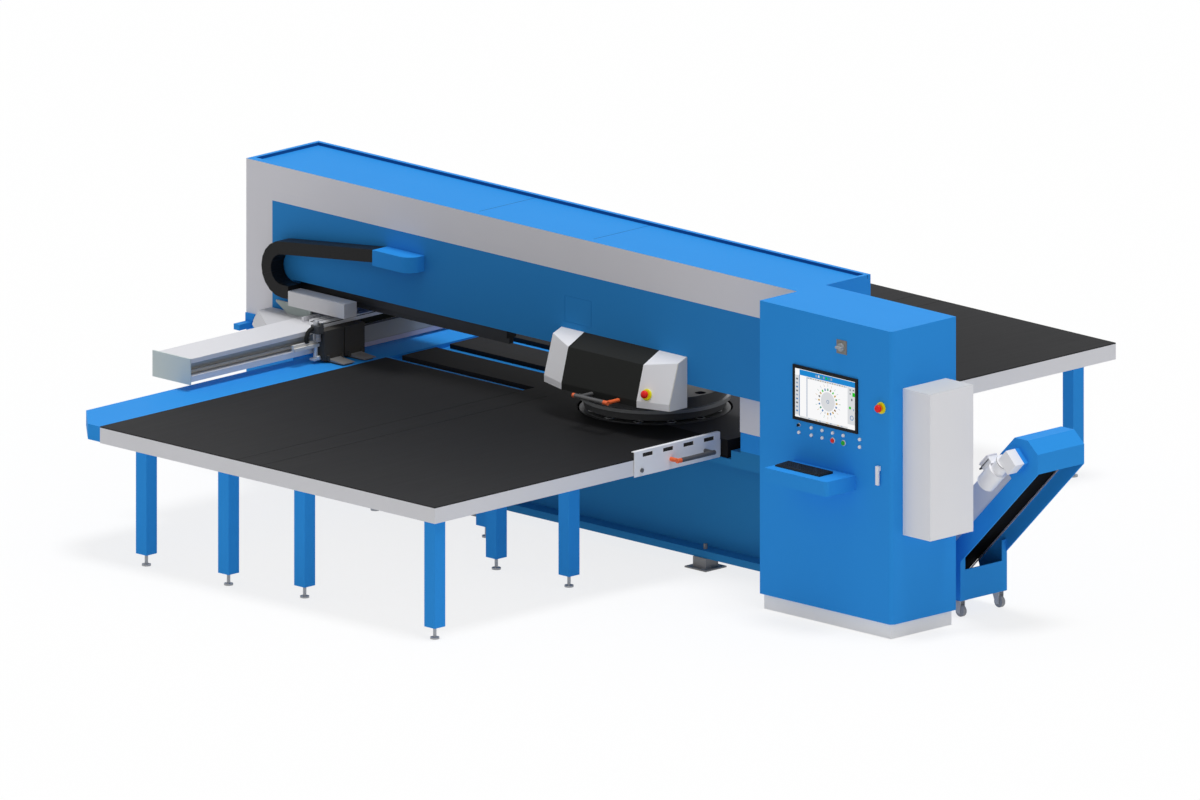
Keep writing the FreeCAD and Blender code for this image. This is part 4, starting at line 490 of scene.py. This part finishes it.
# Generic control page. Places are shares of the lit area, from its left and its top;
# radii, widths and the lit area itself are mm.
display = {
    "left": 2025, "right": 2595, "bottom": 1393, "top": 1728, "glass": -1042, "layer": 0.35,
    "colours": {"white": "#FDFDFE", "title blue": "#1287D2", "light grey": "#DCDEE1",
                "line blue": "#8FA3BC", "green": "#14C21E", "ochre": "#C9A24A",
                "steel blue": "#5B86B8", "dark grey": "#6E7278", "sea green": "#46A07A",
                "brown": "#8A6A38"},
    # left, right, top, bottom, layer above the glass, colour
    "fields": [(0, 1, 0, 1, 0, "white"),
               (0.075, 1, 0.012, 0.125, 1, "title blue"),
               (0.205, 0.87, 0.132, 0.168, 1, "light grey"),
               (0, 0.066, 0.14, 0.955, 1, "light grey"),
               (0.066, 0.078, 0.125, 0.97, 1, "steel blue"),
               (0.192, 0.204, 0.14, 0.955, 1, "line blue"),
               (0.875, 1, 0.135, 0.9, 1, "light grey"),
               (0.078, 0.875, 0.965, 1, 1, "light grey"),
               (0.91, 0.925, 0.17, 0.21, 2, "dark grey"),
               (0.96, 0.985, 0.17, 0.2, 2, "dark grey"),
               (0.955, 0.995, 0.235, 0.315, 2, "green"),
               (0.91, 0.925, 0.25, 0.285, 2, "dark grey"),
               (0.935, 0.955, 0.36, 0.41, 2, "dark grey"),
               (0.965, 0.98, 0.57, 0.61, 2, "line blue")],
    # column of side keys: left, right, first, pitch, length, count, colours in turn
    "sideKeys": (0.018, 0.05, 0.2, 0.082, 0.034, 9, ("dark grey", "line blue", "steel blue")),
    # rows of marks: top, bottom, first, pitch, length, count, colours in turn
    "markRows": [(0.045, 0.095, 0.34, 0.042, 0.024, 7,
                  ("line blue", "light grey", "sea green", "line blue", "green", "sea green", "line blue")),
                 (0.142, 0.158, 0.215, 0.04, 0.02, 16, ("line blue", "dark grey", "ochre")),
                 (0.975, 0.99, 0.22, 0.06, 0.03, 10, ("line blue", "light grey", "ochre"))],
    # round marks: across, down, radius, hole, layer, colour
    "rounds": [(0.915, 0.56, 10, 0, 2, "green"), (0.945, 0.76, 17, 12, 2, "steel blue"),
               (0.545, 0.545, 66, 0, 1, "light grey"), (0.545, 0.545, 13, 8, 2, "line blue")],
    # ring of tools: inner and outer radius and half width of each tool's mark and pointer
    "ringMiddle": (0.545, 0.545), "mark": (76, 92, 6.5), "pointer": (104, 122, 1.3),
    "toolColours": ("sea green", "brown", "green", "ochre", "sea green", "ochre", "steel blue",
                    "brown", "ochre", "steel blue", "ochre", "light grey", "steel blue",
                    "sea green", "steel blue", "ochre", "dark grey", "ochre", "green", "steel blue"),
    "pointerColours": ("line blue", "ochre", "sea green"),
}


def buildDisplay():
    d = display
    pixels = [litPixels("lit " + name, colour) for name, colour in d["colours"].items()]
    numbers = {name: number for number, name in enumerate(d["colours"])}
    mesh = bmesh.new()

    def place(across, down):
        # X and Z of a point on the glass
        return (d["left"] + (d["right"] - d["left"]) * across,
                d["top"] - (d["top"] - d["bottom"]) * down)

    def field(x0, x1, z0, z1, level, colour):
        left, high = place(x0, z0)
        right, low = place(x1, z1)
        front = d["glass"] - d["layer"] * (level + 1)
        rear = d["glass"] - d["layer"] * level
        addBlock(mesh, (left, front, low), (right, rear, high), numbers[colour])

    for sides in d["fields"]:
        field(*sides)
    left, right, first, pitch, size, count, colours = d["sideKeys"]
    for number in range(count):
        low = first + number * pitch
        field(left, right, low, low + size, 2, colours[number % len(colours)])
    for top, bottom, first, pitch, size, count, colours in d["markRows"]:
        for number in range(count):
            low = first + number * pitch
            field(low, low + size, top, bottom, 2, colours[number % len(colours)])
    for across, down, radius, hole, level, colour in d["rounds"]:
        x, z = place(across, down)
        seat = seatAt((x, d["glass"] - d["layer"] * level, z), towardsFront)
        profile = [(hole, 0), (radius, 0), (radius, d["layer"]), (hole, d["layer"])]
        addTurned(mesh, profile, seat, 40, numbers[colour], closed=hole > 0)
    # one coloured mark and one thin pointer for each tool
    middle = Vector(place(*d["ringMiddle"]))
    front = d["glass"] - d["layer"] * 2
    for number, toolColour in enumerate(d["toolColours"]):
        turn = math.tau * number / len(d["toolColours"])
        radial = Vector((math.sin(turn), math.cos(turn)))
        across = Vector((radial.y, -radial.x))
        pointerColour = d["pointerColours"][number % len(d["pointerColours"])]
        for (inner, outer, half), colour in ((d["mark"], toolColour), (d["pointer"], pointerColour)):
            corners = [radial * inner - across * half, radial * inner + across * half,
                       radial * outer + across * half * 0.8, radial * outer - across * half * 0.8]
            addPrism(mesh, [tuple(middle + corner) for corner in corners], front, front + d["layer"],
                     numbers[colour])
    finishPiece("display", mesh, pixels, "control_door")
    print("built the display")


stops = {"door": {"axis": (0, -1, 0), "body": "control_door", "radius": 40},
         "cover": {"axis": (0.1728, -0.9494, 0.2622), "body": "lifting_cover", "radius": 39}}
stopShape = {"seatBack": 22.5, "bore": 11, "wall": 7, "thick": 10.4, "slope": 3, "lead": 2,
             "leadStart": 9,
             "head": [(0, 6), (9.5, 6), (9.5, 17), (19, 19), (25.5, 24), (27, 30), (26, 39), (21, 45.5),
                      (11, 49.5), (0, 50.5)]}


def buildStops():
    # emergency stops: a yellow ring over the collar, and a red mushroom head
    shape = stopShape
    bore, thick = shape["bore"], shape["thick"]
    for name, d in stops.items():
        low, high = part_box(name + "_estop")
        seat = seatAt((low + high) / 2 / mm - Vector(d["axis"]) * shape["seatBack"], d["axis"])
        rim = d["radius"]
        collar = [(bore, 0), (rim, 0), (rim, shape["wall"]), (rim - shape["slope"], thick),
                  (bore + shape["lead"], thick), (bore, shape["leadStart"])]
        mesh = bmesh.new()
        addTurned(mesh, collar, seat, 56, closed=True)
        finishPiece(name + "_stop_collar", mesh, [finish["yellowPlastic"]], d["body"])
        mesh = bmesh.new()
        addTurned(mesh, shape["head"], seat, 48)
        mushroom = finishPiece(name + "_stop_mushroom", mesh, [finish["redPlastic"]],
                               name + "_stop_head")
        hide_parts(name + "_estop")
    print("built the emergency stops")


panelKeys = {"first": 2058, "steps": (0, 118, 221, 320, 421, 576), "rows": (1337, 1285), "face": -1035,
             # (row, place in it) of the black key switch, and of the start and stop buttons
             "keySwitch": (0, 0), "buttons": ((1, 3), (1, 4)),
             "bezel": [(0, 0), (13, 0), (13, 4.5), (11.6, 6), (10.4, 6), (10.4, 0.5)],
             "cap": [(10.2, 5), (10.2, 10.5), (9, 12), (5, 12.8), (0, 13)],
             "collar": [(15.5, 0), (20.5, 0), (20.5, 4), (18.5, 6.2), (16.5, 6.2), (15.5, 5)],
             "gripHalf": 2.5, "gripTall": 9, "gripFrom": 11, "gripTo": 24}


def buildPanelKeys():
    # lit keys in chromed bezels, a key switch with its grip, and a collar round each button
    d = panelKeys
    chrome = turnedSteel("chromed bezel", "#D4D7DA", "#DEE0E3", 0.25, 0.6)
    mesh = bmesh.new()
    collars = bmesh.new()
    for row, z in enumerate(d["rows"]):
        for number, step in enumerate(d["steps"]):
            x = d["first"] + step
            seat = seatAt((x, d["face"], z), towardsFront)
            if (row, number) in d["buttons"]:
                addTurned(collars, d["collar"], seat, 40, closed=True)
                continue
            black = (row, number) == d["keySwitch"]
            addTurned(mesh, d["bezel"], seat, 32, 1)
            addTurned(mesh, d["cap"], seat, 32, 2 if black else 0)
            if black:
                half, tall = d["gripHalf"], d["gripTall"]
                addBlock(mesh, (x - half, d["face"] - d["gripTo"], z - tall),
                         (x + half, d["face"] - d["gripFrom"], z + tall), 2)
    keys = finishPiece("panel_keys", mesh, [finish["whitePlastic"], chrome, finish["keyPlastic"]],
                       "control_door")
    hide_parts("panel_buttons")
    finishPiece("key_bezels", collars, [chrome], "control_door")
    print("built the panel keys")


keyField = {"left": 2029, "length": 420, "front": -1237, "width": 130, "base": 1080, "rear": 16,
            "slope": 6, "columns": 21, "rows": 6, "border": 6, "gap": 1, "sideSlope": 3,
            "frontSlope": 2, "rearSlope": 4, "sunk": 0.5, "tall": 5, "spaceBar": (0, 5), "spaceSpan": 7}


def buildKeycaps():
    # tapered caps in rows on the sloping keyboard
    d = keyField
    mesh = bmesh.new()
    pitchX = (d["length"] - d["border"] * 2) / d["columns"]
    pitchY = (d["width"] - d["border"] * 2) / d["rows"]
    gap = d["gap"]
    for row in range(d["rows"]):
        y0 = d["front"] + d["border"] + pitchY * row
        y1 = y0 + pitchY
        share = (y0 - d["front"]) / d["width"]
        z = d["base"] + d["rear"] - d["slope"] * (1 - share)
        column = 0
        while column < d["columns"]:
            # a few wide keys among the single ones
            span = 2 if (row + column) % 9 == 0 else 1
            if (row, column) == d["spaceBar"]:
                span = d["spaceSpan"]
            span = min(span, d["columns"] - column)
            x0 = d["left"] + d["border"] + pitchX * column
            x1 = x0 + pitchX * span
            low = [(x0 + gap, y0 + gap), (x1 - gap, y0 + gap), (x1 - gap, y1 - gap), (x0 + gap, y1 - gap)]
            left, right = x0 + d["sideSlope"], x1 - d["sideSlope"]
            front, back = y0 + d["frontSlope"], y1 - d["rearSlope"]
            high = [(left, front), (right, front), (right, back), (left, back)]
            addSkin(mesh, [[mesh.verts.new((x, y, z - d["sunk"])) for x, y in low],
                           [mesh.verts.new((x, y, z + d["tall"])) for x, y in high]])
            column += span
    finishPiece("keycaps", mesh, [finish["keyPlastic"]], "control_door")
    print("built the keycaps")


drive = {
    "axis": (3400, -313.3, 1185), "across": -42.5, "up": 50,
    # rims of the gearmotor: start along the incline, radius, thickness
    "rims": ((-65, 62, 4), (-137, 68, 7), (-294, 68, 7)), "rimDepth": 14, "rimEdge": 1, "crown": 1.5,
    "capStart": -301, "cap": [(66, 0), (65, 5), (58, 9), (20, 11), (0, 11)],
    "jointStart": -53.4, "joint": [(48, 0), (62.6, 0), (62.6, 3.4), (48, 3.4)],
    # plug, as opposite corners of blocks in the drive's own axes
    "lid": ((-224, -90, 153), (-116, 5, 159)),
    "rib": ((-216, -86, 159), (-210, 1, 166)), "ribCount": 8, "ribPitch": 12.5,
    "levers": (((-232, -94, 128), (-120, -90, 134)), ((-232, 5, 128), (-120, 9, 134)),
               ((-240, -94, 126), (-232, 9, 136))),
}


def upTheIncline(a, b, c):
    # from the drive's own axes: a up the incline, b along Y, c square to both
    x, y, z = drive["axis"]
    return Vector((x + (a - c) * math.sqrt(0.5), y + b, z + (a + c) * math.sqrt(0.5)))


def buildDriveTrim():
    # bright turned rims, dark joint, end cap and the ribbed plug of the motor
    d = drive

    def seatFrom(start):
        downTheIncline = (-math.sqrt(0.5), 0, -math.sqrt(0.5))
        return seatAt(upTheIncline(start, d["across"], d["up"]), downTheIncline)

    mesh = bmesh.new()
    crown = d["crown"]
    for start, rim, thick in d["rims"]:
        inner = rim - d["rimDepth"]
        profile = [(inner, 0), (rim - d["rimEdge"], 0), (rim + crown, crown), (rim + crown, thick - crown),
                   (rim, thick), (inner, thick)]
        addTurned(mesh, profile, seatFrom(start), 64, closed=True)
    addTurned(mesh, d["cap"], seatFrom(d["capStart"]), 64)
    addTurned(mesh, d["joint"], seatFrom(d["jointStart"]), 64, 1, closed=True)
    finishPiece("drive_rims", mesh, [finish["whitePlastic"], finish["blackPlastic"]], "frame")
    mesh = bmesh.new()
    addBlock(mesh, *d["lid"])
    for number in range(d["ribCount"]):
        along = Vector((number * d["ribPitch"], 0, 0))
        addBlock(mesh, *[Vector(corner) + along for corner in d["rib"]])
    for corners in d["levers"]:
        addBlock(mesh, *corners, 1)
    for vertex in mesh.verts:
        vertex.co = upTheIncline(*vertex.co)
    finishPiece("drive_plug", mesh, [finish["grey"], finish["darkSteel"]], "frame", 0.8)
    print("built the drive trim")


# limits in Y of each rail, ends in X, and the rail's top and bottom below the belt, whose
# underside is at Z = X - belt
beltRails = {"sides": ((146.5, 158.8), (-262.8, -250.5)), "start": 2455, "end": 3385, "belt": 2279,
             "top": 2, "bottom": 12}


def buildBeltRails():
    # bright steel guide under each edge of the rising belt, fixed to the side plates
    d = beltRails
    mesh = bmesh.new()
    outline = [(x, x - d["belt"] - below) for x, below in (
        (d["start"], d["top"]), (d["end"], d["top"]), (d["end"], d["bottom"]), (d["start"], d["bottom"]))]
    for low, high in d["sides"]:
        addPrism(mesh, outline, low, high)
    steel = turnedSteel("bright rail steel", "#B9AEB2", "#C9BFC2", 0.4, 0.4)
    finishPiece("belt_rails", mesh, [steel], "frame")
    print("built the belt rails")


# the chain's line in X and Z, the number of its links, and where its runs change bodies
chainPath = {"start": (-2222, 1707), "loop": (-3090, 1460), "end": -3031, "bend": 150,
             "front": -799, "rear": -679, "half": 44, "gap": 0.15, "upper": 19, "round": 10,
             "slices": 16, "upperBlend": (-1884.5, -4295.5), "lowerBlend": (-3149, -3031),
             "loopBlend": 100000}


def buildEnergyChain():
    # links on their line from the end cover to the tow box.
    d = chainPath
    start, loop = Vector(d["start"]), Vector(d["loop"])
    top = loop + Vector((0, d["bend"]))
    corners = [start.lerp(top, i / d["upper"]) for i in range(d["upper"])]
    for i in range(d["round"] + 1):
        turn = math.pi * i / d["round"]
        corners.append(loop + Vector((-math.sin(turn), math.cos(turn))) * d["bend"])
    bottom = corners[-1]
    end = Vector((d["end"], bottom.y))
    corners += [bottom.lerp(end, (i + 1) / d["slices"]) for i in range(d["slices"])]
    ways = [(after - before).normalized() for before, after in zip(corners, corners[1:])]
    sides = [Vector((way.y, -way.x)) for way in ways]
    # each link ends in the plane that halves the angle to its neighbour
    seams = [(before + after).normalized() for before, after in zip(sides, sides[1:])]
    seams = [Vector((0, 1))] + seams + [Vector((0, -1))]

    def edge(corner, link, inset):
        # the two ends of a link's edge at a corner of the line
        middle = corners[corner] + ways[link] * inset
        reach = seams[corner] * (d["half"] / seams[corner].dot(sides[link]))
        return middle + reach, middle - reach

    last = d["upper"] + d["round"]
    middleY = (d["front"] + d["rear"]) / 2
    loopEnds = [(0, middleY - d["loopBlend"], 0), (0, middleY + d["loopBlend"], 0)]
    for name, first, beyond, ends in (
            ("chain_upper", 0, d["upper"], [(x, 0, 0) for x in d["upperBlend"]]),
            ("chain_loop", d["upper"], last, loopEnds)):
        mesh = bmesh.new()
        for link in range(first, beyond):
            outline = edge(link, link, d["gap"]) + edge(link + 1, link, -d["gap"])[::-1]
            addPrism(mesh, outline, d["front"], d["rear"])
        joinBodies(name, mesh)
    # the lower run: one piece in slices
    mesh = bmesh.new()
    edges = [edge(i, min(i, len(ways) - 1), 0) for i in range(last, len(corners))]
    addStrip(mesh, edges, d["front"], d["rear"])
    joinBodies("chain_lower", mesh)
    print("built the energy chain")


def joinBodies(name, mesh):
    # the piece is fixed to no body, and stands for the chain's solid, which is hidden
    piece = finishPiece(name, mesh, [finish["blackPlastic"]], None)
    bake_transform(piece)
    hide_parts("energy_chain")


stopUnit = {
    "clampFront": -931,
    # turned parts: X, distance in front of the clamp, sides, (radius, height) points
    "rod": (-2621, 33, 24, [(0, 1080), (7.5, 1080), (7.5, 1136), (6, 1139), (0, 1139)]),
    "foot": (-2611, 24, 28, [(0, 958), (14, 958), (14, 1039), (0, 1039)]),
    "nut": (-2592, 24, 28, [(0, 957), (17, 957), (17, 977), (14, 980), (0, 980)]),
    "sensor": (-2592, 24, 40, [(0, 1080), (21, 1080), (21, 1104), (19, 1106), (19, 1112), (21, 1114),
                               (21, 1136), (0, 1136)]),
    "knob": (-2604, 28, 40, [(0, 1192), (20, 1192), (20, 1216), (18, 1220), (11, 1220), (9, 1217),
                             (0, 1217)]),
    # blocks: limits in X, distances in front of the clamp, limits in Z
    "plate": ((-2634, -2586), (60, 0), (950, 964)),
    "head": ((-2632, -2560), (52, -2), (1136, 1192)),
    "lug": ((-2584, -2562), (24, 2), (1192, 1206)),
    # arm: a bend from its first angle through its sweep, then straight down to the bar
    "armX": -2616, "armAhead": 46, "armZ": 1106, "armBend": 62, "armAngles": (90, 100),
    "armSteps": 16, "armEnd": (104, 1079), "armRadius": 15,
}


def buildStopUnit():
    # sheet stop in front of the first clamp: rod with its foot, sensor body, knob, curved arm
    d = stopUnit

    def turned(mesh, name, index):
        x, ahead, sides, profile = d[name]
        addTurned(mesh, profile, seatAt((x, d["clampFront"] - ahead, 0), upwards), sides, index)

    def block(mesh, name, index):
        (x0, x1), (front, rear), (z0, z1) = d[name]
        addBlock(mesh, (x0, d["clampFront"] - front, z0), (x1, d["clampFront"] - rear, z1), index)

    mesh = bmesh.new()
    turned(mesh, "rod", 0)
    turned(mesh, "foot", 0)
    block(mesh, "plate", 0)
    turned(mesh, "nut", 0)
    finishPiece("stop_rod", mesh, [finish["aluminium"]], "sheet_carriage", 0.8)
    mesh = bmesh.new()
    turned(mesh, "sensor", 1)
    block(mesh, "head", 0)
    turned(mesh, "knob", 2)
    block(mesh, "lug", 0)
    sensorSteel = turnedSteel("sensor body", "#9A9796", "#A5A2A1", 0.5, 0.1)
    finishPiece("stop_head", mesh, [finish["darkSteel"], sensorSteel, finish["steel"]],
                "sheet_carriage", 1.0)
    first, sweep = d["armAngles"]
    points = []
    for step in range(d["armSteps"] + 1):
        turn = math.radians(first + sweep * step / d["armSteps"])
        points.append(Vector((d["armX"], d["clampFront"] - d["armAhead"] + d["armBend"] * math.cos(turn),
                              d["armZ"] + d["armBend"] * math.sin(turn))))
    ahead, z = d["armEnd"]
    points.append(Vector((d["armX"], d["clampFront"] - ahead, z)))
    mesh = bmesh.new()
    addTube(mesh, points, d["armRadius"], 24)
    finishPiece("stop_arm", mesh, [finish["black"]], "sheet_carriage")
    print("built the stop unit")


# degrees from the front and up, metres for the point looked at, the width seen and the distance
view = {"turn": 45, "lift": 14, "lookAt": (-0.4345, -0.4345, 0.9629), "wide": 8.0536, "away": 20,
        "clip": 90}


def setCamera():
    # parallel view from the right of the front
    d = view
    turn, lift = math.radians(d["turn"]), math.radians(d["lift"])
    toViewer = Vector((math.sin(turn) * math.cos(lift), -math.cos(turn) * math.cos(lift), math.sin(lift)))
    camera = bpy.data.objects.new("camera", bpy.data.cameras.new("camera"))
    bpy.context.scene.collection.objects.link(camera)
    camera.data.type = "ORTHO"
    camera.data.ortho_scale = d["wide"]
    camera.data.clip_end = d["clip"]
    camera.location = Vector(d["lookAt"]) + toViewer * d["away"]
    camera.rotation_euler = toViewer.to_track_quat("Z", "Y").to_euler()
    bpy.context.scene.camera = camera
    print("set the camera")


studio = {"floorHalf": 60, "floorLevel": -0.002, "floorBounce": "#EEEEEE", "floorGlow": 0.35,
          "skyLight": 0.45, "shadowShare": 0.2, "sunFrom": (0.14, 0.03, 1.0), "sunStrength": 1.7,
          "sunAngle": 18}


def seenDirectly(tree):
    # 1 for camera, mirror and glass rays, 0 for the light that falls on the object
    path = addNode(tree, "ShaderNodeLightPath")
    total = path.outputs["Is Camera Ray"]
    for name in ("Is Glossy Ray", "Is Transmission Ray"):
        total = addNode(tree, "ShaderNodeMath", {"operation": "MAXIMUM"},
                        {0: total, 1: path.outputs[name]}).outputs[0]
    return total


def setFloor():
    # matt floor: pale and a little lit for the light it gives back, white with a faint
    # shadow to the eye
    d = studio
    half, level = d["floorHalf"], d["floorLevel"]
    mesh = bpy.data.meshes.new("floor")
    mesh.from_pydata([(-half, -half, level), (half, -half, level), (half, half, level), (-half, half, level)],
                     [], [(0, 1, 2, 3)])
    floor = bpy.data.objects.new("floor", mesh)
    bpy.context.scene.collection.objects.link(floor)
    material = bpy.data.materials.new("studio floor")
    material.use_nodes = True
    tree = material.node_tree
    tree.nodes.clear()
    dull = addNode(tree, "ShaderNodeBsdfDiffuse", {"Color": linear(d["floorBounce"])})
    lamps = addNode(tree, "ShaderNodeEmission", {"Color": linear(d["floorBounce"]), "Strength": 1.0})
    bounce = addNode(tree, "ShaderNodeMixShader", {"Fac": d["floorGlow"]},
                     {1: dull.outputs[0], 2: lamps.outputs[0]})
    matt = addNode(tree, "ShaderNodeBsdfDiffuse", {"Color": (1, 1, 1, 1)})
    glow = addNode(tree, "ShaderNodeEmission", {"Color": (1, 1, 1, 1), "Strength": 1.0})
    lit = addNode(tree, "ShaderNodeMixShader", {"Fac": d["shadowShare"]},
                  {1: glow.outputs[0], 2: matt.outputs[0]})
    both = addNode(tree, "ShaderNodeMixShader", links={"Fac": seenDirectly(tree), 1: bounce.outputs[0],
                                                       2: lit.outputs[0]})
    addNode(tree, "ShaderNodeOutputMaterial", links={"Surface": both.outputs[0]})
    mesh.materials.append(material)
    print("laid the floor")


def setLight():
    # white surroundings, dimmer for the light that falls on the object, and one soft sun
    d = studio
    world = bpy.data.worlds.new("world")
    bpy.context.scene.world = world
    world.use_nodes = True
    tree = world.node_tree
    sky = tree.nodes["Background"]
    sky.inputs["Color"].default_value = (1, 1, 1, 1)
    level = addNode(tree, "ShaderNodeMapRange", {"To Min": d["skyLight"], "To Max": 1.0},
                    {"Value": seenDirectly(tree)})
    tree.links.new(level.outputs["Result"], sky.inputs["Strength"])
    light = bpy.data.lights.new("overhead light", "SUN")
    light.energy = d["sunStrength"]
    light.angle = math.radians(d["sunAngle"])
    lamp = bpy.data.objects.new("overhead light", light)
    lamp.rotation_euler = Vector(d["sunFrom"]).to_track_quat("Z", "Y").to_euler()
    bpy.context.scene.collection.objects.link(lamp)
    bpy.context.scene.view_settings.view_transform = "Standard"
    print("set the light")


def main():
    setCamera()
    setFloor()
    setLight()
    dressFrame()
    buildDieRings()
    buildDisplay()
    buildStops()
    buildPanelKeys()
    buildKeycaps()
    buildDriveTrim()
    buildBeltRails()
    buildEnergyChain()
    buildStopUnit()


main()
